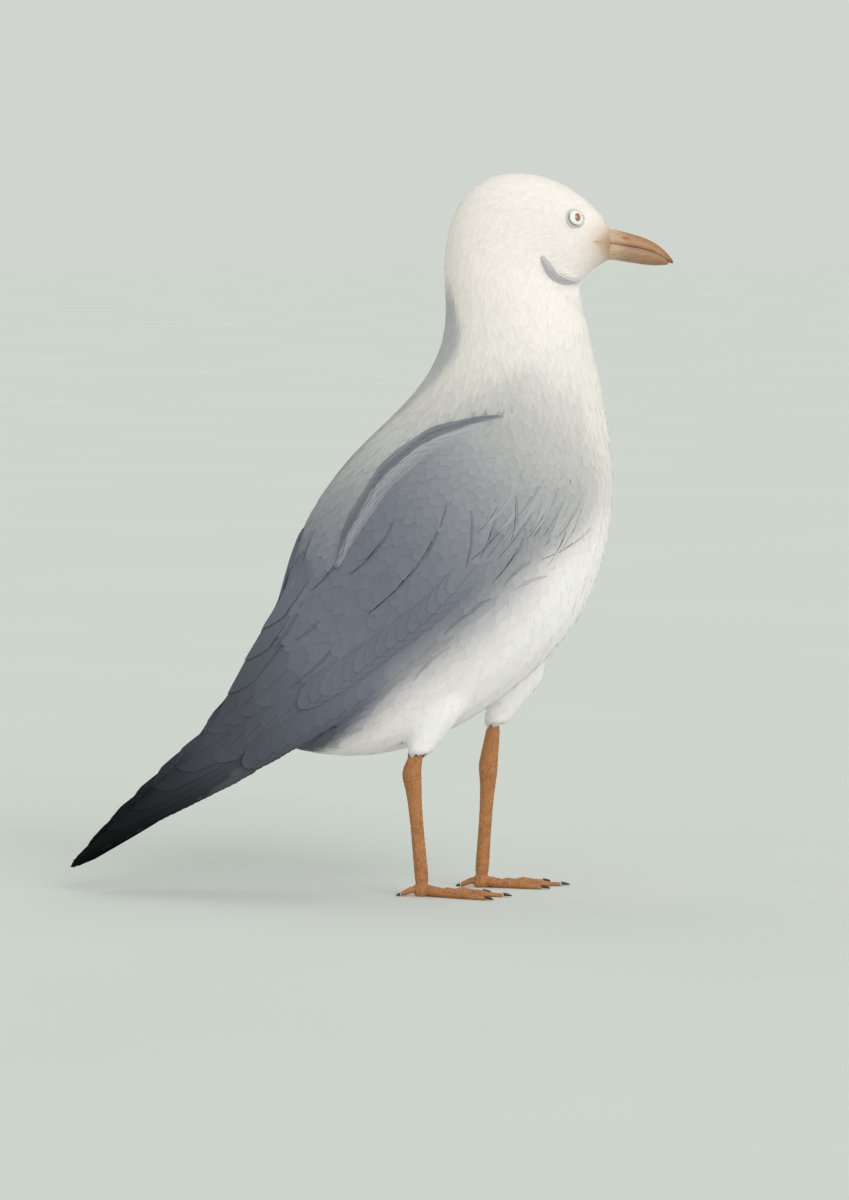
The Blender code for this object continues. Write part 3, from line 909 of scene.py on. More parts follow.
@dataclass
class BodyForm:
    """The smooth outer form of the plumage, one closed surface from the CAD solids."""

    voxel: float = 1.3
    swell: float = 0.35
    passes: int = 10
    eyes: Eyes = field(default_factory=Eyes)
    wing: WingPlan = field(default_factory=WingPlan)
    nodes: tuple = (
        "head", "neck", "trunk", "tail", "thigh_left", "thigh_right",
        "wing_left", "wing_right", "wingtip_left", "wingtip_right",
    )

    def build(self) -> "BodyForm":
        """Makes the form, its search tree and its triangles."""
        self.shape = node_copy("body_form", list(self.nodes), self.swell)
        self.fill()
        remeshed(self.shape, self.voxel, self.passes, self.swell)
        mesh = self.shape.data
        self.places, self.normals = places_of(mesh), normals_of(mesh)
        mesh.calc_loop_triangles()
        corners = np.empty(len(mesh.loop_triangles) * 3, np.int32)
        mesh.loop_triangles.foreach_get("vertices", corners)
        self.corners = corners.reshape(-1, 3)
        self.tree = BVHTree.FromPolygons(self.places.tolist(), self.corners.tolist())
        LOG.info("%-16s %7d triangles", "body form", len(self.corners))
        return self

    def fill(self) -> None:
        """Adds the balls and pads that the solids lack, before the shape is made one shell."""
        whole = bmesh.new()
        whole.from_mesh(self.shape.data)
        self.fill_sockets(whole)
        # a pad over the top of the forward thigh, where it leaves the belly
        self.pad(whole, (7.4, 0, -2.9, 72.0), (0, 7.0, 0, 16.5), (6.7, 0, 3.2, 100.0))
        self.fill_hollow(whole)
        whole.to_mesh(self.shape.data)
        whole.free()

    def pad(self, whole: BMesh, *rows: tuple) -> None:
        """Adds one ball, stretched and placed by the rows of a matrix in millimetres."""
        turn = Matrix((*rows, (0.0, 0.0, 0.0, 1.0 / MM)))
        bmesh.ops.create_icosphere(whole, subdivisions=3, radius=1.0, matrix=turn * MM)

    def fill_sockets(self, whole: BMesh) -> None:
        """Closes the eye sockets with balls, so that lids and feathers have a bulge to lie on."""
        for side in Side:
            socket = np.array(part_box("eye_" + side.label)).mean(0) / MM
            for middle, less in ((socket, 0.25), (self.eyes.middle(side), 0.1)):
                size = (self.eyes.radius - less + self.swell) * MM
                ball = bmesh.ops.create_icosphere(whole, subdivisions=4, radius=size)
                bmesh.ops.translate(whole, verts=ball["verts"], vec=Vector(middle * MM))

    def fill_hollow(self, whole: BMesh) -> None:
        """Rounds the rump between the folded wings with flat balls, a little under their edges."""
        (ax, az), (cx, cz) = self.wing.along, self.wing.across
        for s in range(126, 207, 4):
            high = np.interp(s, (126, 150, 190, 206), (9.0, 7.0, 5.5, 3.5))
            wide = np.interp(s, (126, 150, 170, 206), (20.0, 12.0, 10.5, 10.0))
            x, z = self.wing.place(s, float(self.wing.upper_edge(float(s))) - 3.5 - high)
            first, last = (ax * 6.0, 0.0, -cx * high, x), (az * 6.0, 0.0, -cz * high, z)
            self.pad(whole, first, (0.0, wide, 0.0, 0.0), last)

    def remove(self) -> None:
        """Takes the form out of the scene."""
        bpy.data.objects.remove(self.shape)

    def scatter(self, count: int, rng: Generator) -> tuple[Array, Array]:
        """Places spread evenly over the form, with the surface's normals there."""
        a, b, c = (self.places[self.corners[:, i]] for i in range(3))
        area = np.linalg.norm(np.cross(b - a, c - a), axis=1)
        pick = np.searchsorted(np.cumsum(area), rng.random(count) * area.sum())
        u, v = rng.random(count), rng.random(count)
        over = u + v > 1
        u[over], v[over] = 1 - u[over], 1 - v[over]
        places = a[pick] + (b - a)[pick] * u[:, None] + (c - a)[pick] * v[:, None]
        normals = unit(self.normals[self.corners[pick]].sum(1))
        return places, normals

    def nearest(self, places: Array) -> tuple[Array, Array]:
        """The nearest place on the form to each place, and the smooth normal there."""
        found = np.empty_like(places)
        faces = np.empty(len(places), int)
        search = self.tree.find_nearest
        for i, place in enumerate(places.tolist()):
            spot, _, faces[i], _ = search(place)
            found[i] = spot
        corners = self.corners[faces]
        apart = np.linalg.norm(self.places[corners] - found[:, None], axis=2)
        weight = 1.0 / (apart + 0.2)
        return found, unit((self.normals[corners] * weight[..., None]).sum(1))

    def under(self, places: Array, owner: Array) -> tuple[Array, Array]:
        """The place on the form under each place, with a normal that never faces inwards.

        Args:
            places: rows of x, y and z.
            owner: the outward way of the feather that each place belongs to.

        Returns:
            The places on the form, and the smooth normals there.
        """
        near, normals = self.nearest(places)
        far_side = np.flatnonzero((normals * owner).sum(1) < -0.2)
        spots = []
        for i in far_side:
            way = Vector(-owner[i])
            spot, normal, _, _ = self.tree.ray_cast(Vector(places[i]) - way * 6.0, way)
            fits = spot is not None and normal.dot(way) < -0.3
            fits = fits and (spot - Vector(places[i])).length < 5.0
            spots.append(spot if fits else near[i])
        if spots:
            near[far_side], normals[far_side] = self.nearest(np.array(spots, float))
        facing = (normals * owner).sum(1)
        return near, unit(normals + owner * np.maximum(0.1 - facing, 0.0)[:, None] * 1.6)

    def hidden(self, places: Array, normals: Array) -> Array:
        """True where the form closes over a place, as in the gap between a wing and the back."""
        s, _ = self.wing.local(places)
        room = np.where(s > self.wing.flight, 12.0, 5.0)
        found = np.zeros(len(places), bool)
        for i, (place, normal) in enumerate(zip(places.tolist(), normals.tolist())):
            way = Vector(normal)
            spot = self.tree.ray_cast(Vector(place) + way * 0.4, way, float(room[i]))[0]
            found[i] = spot is not None
        return found

    def from_side(self, flat: Array, side: Side, reach: Array) -> tuple[Array, Array]:
        """The outermost place on the form behind each place seen from one side.

        Args:
            flat: rows of x and z.
            side: the side it is seen from.
            reach: how far each place may stand off the form where nothing lies behind it.

        Returns:
            The places, and the smooth normals there; where nothing lies behind, the nearest place.
        """
        places = np.stack([flat[:, 0], np.full(len(flat), 90.0 * side.value), flat[:, 1]], 1)
        way = Vector((0, -side.value, 0))
        guess = places.copy()
        for i, place in enumerate(places.tolist()):
            spot = self.tree.ray_cast(place, way)[0]
            if spot is None or spot.y * side.value < 1.5:
                near = self.tree.find_nearest((place[0], 6.0 * side.value, place[2]))[0]
                gap = Vector((place[0] - near.x, place[2] - near.z))
                share = min(1.0, reach[i] / max(gap.length, 1e-6))
                deep = max(near.y * side.value, 1.5) * side.value
                guess[i] = (near.x + gap.x * share, deep, near.z + gap.y * share)
            else:
                guess[i] = spot
        _, normals = self.nearest(guess)
        outward = np.array((0.0, float(side.value), 0.0))
        facing = normals @ outward
        normals = unit(normals + outward * np.maximum(0.35 - facing, 0.0)[:, None])
        return guess, normals


@dataclass
class Skin:
    """One skin inside the plumage, from the face to the tail and over both wings."""

    form: BodyForm
    marking: Marking
    lie: Lie
    # how deep it lies along the body, and along the wing
    on_body: tuple = (
        (0, 0.2), (20, 0.25), (60, 0.35), (100, 0.5), (160, 0.7), (240, 0.8), (290, 0.6),
    )
    on_wing: tuple = ((0, 0.4), (60, 0.5), (120, 0.5), (200, 0.5), (260, 0.4))

    def depth(self, places: Array) -> Array:
        """How deep the skin lies under the outer form at places, in millimetres."""
        run, _ = self.lie.station(places)
        body = np.where(run > 290, 0.5, read_off(self.on_body, run))
        s, _ = self.lie.wing.local(places)
        wing = read_off(self.on_wing, s)
        cover = self.lie.wing.cover(places, 5.0)
        depth = body * (1.0 - cover) + wing * cover
        depth = np.where(s > 170, np.minimum(depth, 0.6), depth)
        return np.where(thigh_share(places) > 0.3, np.minimum(depth, 1.2), depth)

    def build(self, material: Material) -> None:
        """Makes the skin from a copy of the outer form."""
        made = linked("skin", self.form.shape.data.copy())
        places, normals = self.form.places, self.form.normals
        store(made.data, "Plumage", self.marking.colour(places))
        move_places(made.data, places - normals * self.depth(places)[:, None])
        applied(made, "SMOOTH", factor=0.5, iterations=2)
        nodes = ["head", "neck", "trunk", "thigh_left", "thigh_right", "wing_left", "wing_right"]
        finished(made, material, nodes)


# ----------------------------------------
# Feathers


@dataclass(frozen=True)
class VaneTemplate:
    """One feather's grid: rows along it and columns across, a toothed tip, a thin closed edge."""

    rows: int
    columns: int
    round_tip: float = 0.35
    root_width: float = 0.45
    tip_width: float = 0.8
    point: float = 2.2

    @property
    def across(self) -> Array:
        """The columns' places, from -1 to 1."""
        return np.linspace(-1.0, 1.0, self.columns + 1)

    def grid(self) -> tuple[Array, Array]:
        """How far along and across each vertex of the upper face is, teeth last."""
        v = self.across
        tip = 1.0 - self.round_tip * np.abs(v) ** self.point
        rows = np.arange(self.rows + 1)[:, None] / self.rows
        u = rows * tip[None, :]
        v = np.broadcast_to(v, u.shape)
        between = (self.across[:-1] + self.across[1:]) / 2
        tip_between = 1.0 - self.round_tip * np.abs(between) ** self.point
        return np.concatenate([u.ravel(), tip_between]), np.concatenate([v.ravel(), between])

    def width(self, u: Array) -> Array:
        """The share of its full width that the feather has at u."""
        low = self.root_width + (1 - self.root_width) * np.sin(np.clip(u / 0.5, 0, 1) * math.pi / 2)
        high = 1 - (1 - self.tip_width) * np.clip((u - 0.5) / 0.5, 0, 1) ** 2
        return np.minimum(low, high)

    def top(self, row: int, column: int) -> int:
        """The vertex of the upper face at a row and column."""
        return row * (self.columns + 1) + column

    def under(self, row: int, column: int) -> int:
        """The vertex of the lower face there, which is the upper one along the root and sides."""
        if row == 0 or column in (0, self.columns):
            return self.top(row, column)
        first = (self.rows + 1) * (self.columns + 1) + self.columns
        return first + (row - 1) * (self.columns - 1) + column - 1

    def tooth(self, column: int) -> int:
        """The vertex of a tooth of the tip."""
        return (self.rows + 1) * (self.columns + 1) + column

    def lower_sources(self) -> Array:
        """For each vertex of the lower face that has its own place, its twin on the upper face."""
        return np.array(
            [self.top(r, c) for r in range(1, self.rows + 1) for c in range(1, self.columns)]
        )

    def triangles(self) -> Array:
        """All triangles of one feather, facing outwards."""
        found = []
        for r in range(self.rows):
            for c in range(self.columns):
                for corner, turn in ((self.top, 1), (self.under, -1)):
                    a, b = corner(r, c), corner(r + 1, c)
                    d, e = corner(r, c + 1), corner(r + 1, c + 1)
                    found += [(a, b, e)[::turn], (a, e, d)[::turn]]
        last = self.rows
        for c in range(self.columns):
            found.append((self.top(last, c), self.tooth(c), self.top(last, c + 1)))
            found.append((self.under(last, c + 1), self.tooth(c), self.under(last, c)))
        for c in range(1, self.columns):
            found.append((self.top(last, c), self.tooth(c - 1), self.under(last, c)))
            found.append((self.tooth(c), self.top(last, c), self.under(last, c)))
        return np.array(found)

    def lower_faces(self) -> Array:
        """True for each triangle of the lower face, in the order of the triangles."""
        grid = [False, False, True, True] * (self.rows * self.columns)
        return np.array(grid + [False, True] * self.columns + [False] * (2 * (self.columns - 1)))

    def edge_pairs(self) -> Array:
        """A table that is true for the pairs of vertices along the feather's thin edge."""
        size = self.tooth(self.columns - 1) + 1 + self.rows * (self.columns - 1)
        table = np.zeros((size, size), bool)
        sides = [(r, c) for r in range(self.rows) for c in (0, self.columns)]
        rim = [(self.top(r, c), self.top(r + 1, c)) for r, c in sides]
        rim += [(self.top(0, c), self.top(0, c + 1)) for c in range(self.columns)]
        for c in range(self.columns):
            for end in (c, c + 1):
                rim.append((self.tooth(c), self.top(self.rows, end)))
                rim.append((self.tooth(c), self.under(self.rows, end)))
        for one, two in rim:
            table[one, two] = table[two, one] = True
        return table


@dataclass
class Feathers:
    """Many feathers of one template, row by row, in millimetres."""

    root: Array
    way: Array
    normal: Array
    length: Array
    width: Array
    sink: Array
    lift: Array
    thick: Array
    fringe: Array
    reach: Array
    shade: Array
    bend: Array
    arch: Array
    tone: Array
    toned: Array

    def taken(self, keep: Array) -> "Feathers":
        """The feathers that a mask or list picks."""
        return Feathers(*(getattr(self, name)[keep] for name in self.__dataclass_fields__))

    def __len__(self) -> int:
        """How many feathers there are."""
        return len(self.root)


@dataclass
class Coat:
    """Turns feathers into a closed mesh that lies on the body's form."""

    form: BodyForm
    marking: Marking
    lie: Lie
    patch: float = 0.003

    def heights(self, made: Feathers, u: Array, v: Array) -> Array:
        """How far over the form each vertex lies: sunk at the root, lifted at the tip, arched."""
        sunk = made.sink[:, None] * (1.0 - u) ** 1.3
        arch = made.arch[:, None] * made.width[:, None] * v**2 * (0.4 + u)
        return made.lift[:, None] * (0.25 + 0.75 * u) - sunk - arch

    def mesh(
        self,
        name: str,
        template: VaneTemplate,
        made: Feathers,
        rng: Generator,
        side: Side | None = None,
        soft: float = 0.75,
    ) -> Object:
        """Builds one piece.

        Args:
            name: the piece's name.
            template: the grid of each feather.
            made: the feathers.
            rng: where the teeth's lengths come from.
            side: set where the places are read straight from that side, as on flight feathers.
            soft: how much the feathers are shaded as one surface with the form under them.

        Returns:
            The new object, with its maps and colours.
        """
        u, v = template.grid()
        count, size = len(made), len(u)
        teeth = np.zeros((count, size))
        first = template.tooth(0)
        teeth[:, first:] = made.fringe[:, None] * rng.uniform(0.25, 1.0, (count, template.columns))
        u = u[None] + teeth
        v = np.broadcast_to(v, u.shape)
        across = np.cross(made.normal, made.way)
        out = v * template.width(np.minimum(u, 1.0)) * made.width[:, None] / 2
        out = out + made.bend[:, None] * made.length[:, None] * u**2
        far = u * made.length[:, None]
        spots = made.root[:, None] + made.way[:, None] * far[..., None]
        flat = (spots + across[:, None] * out[..., None]).reshape(-1, 3)
        reach = np.repeat(made.reach, size)
        if side is None:
            near, normals = self.form.under(flat, np.repeat(made.normal, size, 0))
            gap = flat - near
            apart = np.linalg.norm(gap, axis=1)
            stay = np.maximum(1.0 - reach / np.maximum(apart, 1e-6), 0.0)
            near = near + gap * stay[:, None]
        else:
            within = self.form.wing.within(flat[:, [0, 2]])
            near, normals = self.form.from_side(within, side, reach)
        height = self.heights(made, np.minimum(u, 1.0), v).reshape(-1)
        top = (near + normals * height[:, None]).reshape(count, size, 3)
        normals = normals.reshape(count, size, 3)
        if side is None:
            whole = ~self.torn(template, made, top, normals)
            made = made.taken(whole)
            top, normals, u, v, out = (a[whole] for a in (top, normals, u, v, out))
        twins = template.lower_sources()
        lower = top[:, twins] - normals[:, twins] * made.thick[:, None, None]
        places = np.concatenate([top, lower], 1)
        u, v = (np.concatenate([a, a[:, twins]], 1) for a in (u, v))
        out = np.concatenate([out, out[:, twins]], 1)
        piece = self.write(name, template, made, places, (u, v, out))
        if soft > 0.0:
            normals = np.concatenate([normals, normals[:, twins]], 1)
            self._smooth_over(piece.data, template, places, normals, soft)
        return piece

    def torn(self, template: VaneTemplate, made: Feathers, top: Array, normals: Array) -> Array:
        """True for feathers that jump between two faces, or start in the gap under a wing."""
        found = np.zeros(len(made), bool)
        behind = self.form.wing.local(made.root)[0] > self.form.wing.flight
        for row in (0, 2):
            middle = template.top(row, template.columns // 2)
            found |= behind & self.form.hidden(top[:, middle], normals[:, middle])
        for column in (0, template.columns // 2, template.columns):
            line = top[:, [template.top(row, column) for row in range(template.rows + 1)]]
            step = np.linalg.norm(np.diff(line, axis=1), axis=2).max(1)
            found |= step > 2.0 * made.length / template.rows + 0.8
        return found

    def _smooth_over(
        self, mesh: Mesh, template: VaneTemplate, places: Array, normals: Array, soft: float
    ) -> None:
        """Shades feathers as a soft surface, mostly with the normals of the form under them.

        Args:
            mesh: the piece's mesh.
            template: the grid of each feather.
            places: the vertices, feather by feather.
            normals: the form's normals under them.
            soft: the share of the form's normals against the faces' own.
        """
        count, size = normals.shape[:2]
        local = template.triangles()
        turned = np.where(template.lower_faces(), -1.0, 1.0)
        corners = (local[None] + (np.arange(count) * size)[:, None, None]).reshape(count, -1)
        form = normals.reshape(-1, 3)[corners].reshape(count, len(local), 3, 3)
        spots = places.reshape(-1, 3)[corners].reshape(count, len(local), 3, 3)
        a, b, c = np.moveaxis(spots, 2, 0)
        face = unit(np.cross(b - a, c - a))[:, :, None]
        found = unit(form * turned[None, :, None, None] * soft + face * (1.0 - soft))
        mesh.normals_split_custom_set(found.reshape(-1, 3).astype(np.float32))

    def write(
        self, name: str, template: VaneTemplate, made: Feathers, places: Array, grid: tuple
    ) -> Object:
        """Writes the mesh with its two maps, its colours and its sharp thin edges.

        Args:
            name: the piece's name.
            template: the grid of each feather.
            made: the feathers.
            places: the vertices, feather by feather.
            grid: how far along and across its feather each vertex is, and across in millimetres.

        Returns:
            The new object.
        """
        u, v, out = grid
        count, size = places.shape[:2]
        local = template.triangles()
        corners = (local[None] + (np.arange(count) * size)[:, None, None]).reshape(-1, 3)
        mesh = bpy.data.meshes.new(name)
        mesh.vertices.add(count * size)
        mesh.vertices.foreach_set("co", (places * MM).ravel())
        mesh.loops.add(corners.size)
        mesh.loops.foreach_set("vertex_index", corners.ravel())
        mesh.polygons.add(len(corners))
        mesh.polygons.foreach_set("loop_start", np.arange(0, corners.size, 3))
        mesh.update(calc_edges=True)
        ends = np.empty(len(mesh.edges) * 2, np.int32)
        mesh.edges.foreach_get("vertices", ends)
        ends = ends.reshape(-1, 2) % size
        sharp = template.edge_pairs()[ends[:, 0], ends[:, 1]]
        mesh.attributes.new("sharp_edge", "BOOLEAN", "EDGE").data.foreach_set("value", sharp)
        tens = np.stack([u * made.length[:, None], out], -1).reshape(-1, 2) / 10.0
        self._map(mesh, "Vane", tens, corners)
        run, angle = self.lie.station(made.root)
        home = np.stack([0.5 + angle / (2 * math.pi) * 0.94, 0.02 + run / 360.0], 1)
        spread = np.stack([v * 0.5, np.clip(u, 0, 1.1) - 0.5], -1) * self.patch
        self._map(mesh, "OFBake", (home[:, None] + spread).reshape(-1, 2), corners)
        store(mesh, "Plumage", self.tint(template, made, places, u).reshape(-1, 4))
        return linked(name, mesh)

    def _map(self, mesh: Mesh, name: str, at: Array, corners: Array) -> None:
        """Adds a map from one place for each vertex."""
        layer = mesh.uv_layers.new(name=name)
        layer.uv.foreach_set("vector", at[corners.ravel()].astype(np.float32).ravel())

    def tint(self, template: VaneTemplate, made: Feathers, places: Array, u: Array) -> Array:
        """Each vertex's colour: the marking there, a pale tip on grey, and its own shade."""
        flat = places.reshape(-1, 3)
        colour = self.marking.colour(flat).reshape(places.shape)
        heart = template.top(round(template.rows * 0.7), template.columns // 2)
        tip, own = places[:, heart], colour[:, heart : heart + 1]
        alone = 0.15 + 0.34 * smoothstep(3.0, 9.0, made.length)
        alone = (alone - 0.2 * smoothstep(22.0, 40.0, made.length))[:, None, None]
        colour = colour * (1.0 - alone) + own * alone
        grey = self.marking.grey_share(tip)[:, None]
        edge = smoothstep(0.86, 1.0, u) * 0.06 * grey
        base = 1.0 - 0.08 * fade(0.1, 0.6, u)
        colour = colour * ((1.0 + edge) * base * made.shade[:, None])[..., None]
        seen = smoothstep(0.0, 0.3, u) * (1.0 - 0.6 * smoothstep(0.75, 1.0, u))
        colour = mixed(colour, made.tone[:, None], made.toned[:, None] * seen)
        own = np.random.default_rng(5).random(len(made))[:, None, None]
        return np.concatenate([np.clip(colour, 0, 0.95), np.broadcast_to(own, (*u.shape, 1))], -1)


@dataclass
class ContourPlumage:
    """The small feathers that cover the head, neck, body, thighs and wing coverts."""

    coat: Coat
    eyes: Eyes
    candidates: int = 320000
    # running length from the bill, with the spacing and the length of the feathers there
    growth: tuple = (
        (0, 0.8, 3.2), (8, 0.9, 3.8), (20, 1.15, 5.2), (45, 1.4, 7.2), (62, 1.65, 9.0),
        (86, 2.0, 11.5), (106, 2.3, 13.5), (130, 2.6, 15.5), (163, 2.9, 17.0),
        (202, 3.0, 17.5), (244, 3.0, 17.5), (286, 3.2, 20.0),
    )
    # the same along the wing from its bend
    coverts: tuple = (
        (0, 2.2, 9.0), (30, 2.8, 12.0), (60, 3.5, 16.0), (90, 4.2, 20.0), (150, 5.4, 28.0),
    )

    def sizes(self, places: Array) -> tuple[Array, Array]:
        """The spacing and the length of the feathers at places."""
        lie = self.coat.lie
        run, _ = lie.station(places)
        s, _ = lie.wing.local(places)
        cover = lie.wing.cover(places, 5.0)
        found = []
        for column in (1, 2):
            on_body = read_off(self.growth, run, column)
            on_wing = read_off(self.coverts, s, column)
            found.append(on_body * (1.0 - cover) + on_wing * cover)
        leg, rump = thigh_share(places), lie.wing.hollow(places)
        near = smoothstep(3.5, 13.0, self.eyes.clearance(places))
        spacing = (found[0] * (1 - leg) + 2.3 * leg) * (0.72 + 0.28 * near)
        length = (found[1] * (1 - leg) + 7.5 * leg) * (0.6 + 0.4 * near)
        return spacing + (2.5 - spacing) * rump, length + (13.0 - length) * rump

    def wanted(self, places: Array, normals: Array) -> Array:
        """True where small feathers grow."""
        wing = self.coat.lie.wing
        s, t = wing.local(places)
        flight = (s > 168) & (t > wing.lower_edge(s) + 3.0) & (wing.hollow(places) < 0.5)
        socket = self.eyes.clearance(places) < self.eyes.opening + 0.9
        mouth = (places[:, 0] > 99.6) & (normals[:, 0] > 0.8) & (places[:, 2] > 255.0)
        sole = (normals[:, 2] < -0.8) & (thigh_share(places) > 0.6)
        tail = self.coat.lie.station(places)[0] > 300
        return ~(flight | socket | mouth | sole | tail)

    def spaced(self, places: Array, spacing: Array) -> Array:
        """Picks places in their order, so that none is nearer to another than its spacing."""
        tree = KDTree(len(places))
        for i, place in enumerate(places.tolist()):
            tree.insert(place, i)
        tree.balance()
        alive = np.ones(len(places), bool)
        kept = []
        for i in range(len(places)):
            if alive[i]:
                kept.append(i)
                for _, other, _ in tree.find_range(places[i], spacing[i]):
                    alive[other] = False
        return np.array(kept)

    def grow(self, rng: Generator) -> Feathers:
        """Sets all the small feathers on the form."""
        places, normals = self.coat.form.scatter(self.candidates, rng)
        keep = self.wanted(places, normals)
        places, normals = places[keep], normals[keep]
        spacing, length = self.sizes(places)
        kept = self.spaced(places, spacing)
        kept = kept[~self.coat.form.hidden(places[kept], normals[kept])]
        places, normals, spacing, length = (a[kept] for a in (places, normals, spacing, length))
        count = len(kept)
        way = self.coat.lie.direction(places, normals)
        turn = np.radians(rng.normal(0.0, 5.0, count))[:, None]
        way = unit(way * np.cos(turn) + np.cross(normals, way) * np.sin(turn))
        length = length * rng.uniform(0.88, 1.12, count)
        for _ in range(4):
            clear = self.eyes.clearance(places + way * (length * 0.7)[:, None])
            length = np.where(clear < self.eyes.opening + 0.8, length * 0.75, length)
        places = places - way * (length * 0.35)[:, None]
        hem = (thigh_share(places) > 0.5) & (places[:, 2] < min(t.end for t in THIGHS) + 16.0)
        return Feathers(
            root=places,
            way=way,
            normal=normals,
            length=length,
            width=spacing * rng.uniform(1.9, 2.4, count),
            sink=spacing * 0.11,
            lift=spacing * rng.uniform(0.006, 0.026, count) + 0.01,
            thick=np.full(count, 0.035),
            fringe=rng.uniform(0.06, 0.16, count),
            reach=np.where(hem, 1.4, 9.0),
            shade=rng.uniform(0.96, 1.015, count),
            bend=rng.normal(0.0, 0.02, count),
            arch=np.full(count, 0.004),
            tone=np.zeros((count, 3)),
            toned=np.zeros(count),
        )

    def tract(self, made: Feathers) -> Array:
        """The tract that each feather belongs to."""
        lie = self.coat.lie
        tip = made.root + made.way * made.length[:, None] * 0.35
        run, angle = lie.station(tip)
        found = np.full(len(made), Tract.BELLY, object)
        found[run < 165] = Tract.BREAST
        found[np.abs(angle) < math.radians(80)] = Tract.BACK
        found[run < 112] = Tract.NECK
        found[run < 64] = Tract.HEAD
        found[lie.wing.cover(tip, 3.0) > 0.5] = Tract.WING
        return found

    def build(self, material: Material, rng: Generator) -> None:
        """Makes a piece for each tract, and for each side where a tract has two."""
        made = self.grow(rng)
        tract = self.tract(made)
        middle = made.root[:, 1] + made.way[:, 1] * made.length * 0.35
        small = VaneTemplate(3, 4, round_tip=0.42, tip_width=0.6, point=1.6)
        large = VaneTemplate(4, 6, round_tip=0.42, tip_width=0.65, point=1.7)
        smooth = VaneTemplate(4, 6, round_tip=0.3, tip_width=0.85, point=2.2)
        for kind in Tract:
            template = small if kind in (Tract.HEAD, Tract.NECK) else large
            here = tract == kind
            if kind is Tract.WING:
                template = smooth
                made.fringe[here] *= 0.25
            for side in Side:
                pick = here & ((middle >= 0) if side is Side.LEFT else (middle < 0))
                name = f"plumage_{kind.value}_{side.label}"
                piece = self.coat.mesh(name, template, made.taken(pick), rng)
                finished(piece, material, [])


@dataclass(frozen=True)
class Quill:
    """One large feather seen from the side: its ends, how far its middle bows up, its size."""

    root: tuple
    tip: tuple
    sag: float
    width: float
    layer: float
    reach: float = 1.0
    shade: float = 1.0
    tone: tuple = (255, 255, 255)
    toned: float = 0.0


def quill_feathers(quills: list[Quill], side: Side, sink: float, thick: float) -> Feathers:
    """Quills as feathers of one side.

    Args:
        quills: the feathers as seen from the side.
        side: the side they lie on.
        sink: how deep their roots lie.
        thick: how thick they are.

    Returns:
        The feathers.
    """
    count = len(quills)
    root, tip = (np.array([getattr(q, end) for q in quills], float) for end in ("root", "tip"))
    length = np.linalg.norm(tip - root, axis=1)
    chord = (tip - root) / length[:, None]
    above = np.stack([chord[:, 1], -chord[:, 0]], 1)
    bend = -4.0 * np.array([q.sag for q in quills]) / length
    flat = unit(chord - above * bend[:, None])
    names = ("width", "width"), ("lift", "layer"), ("reach", "reach"), ("shade", "shade")
    own = {to: np.array([getattr(q, name) for q in quills]) for to, name in names}
    return Feathers(
        root=np.stack([root[:, 0], np.zeros(count), root[:, 1]], 1),
        way=np.stack([flat[:, 0], np.zeros(count), flat[:, 1]], 1),
        normal=np.tile((0.0, float(side.value), 0.0), (count, 1)),
        length=length,
        sink=np.full(count, sink),
        thick=np.full(count, thick),
        fringe=np.full(count, 0.012),
        bend=bend * side.value,
        arch=np.full(count, 0.012),
        tone=np.array([paint(*q.tone) for q in quills]),
        toned=np.array([q.toned for q in quills]),
        **own,
    )


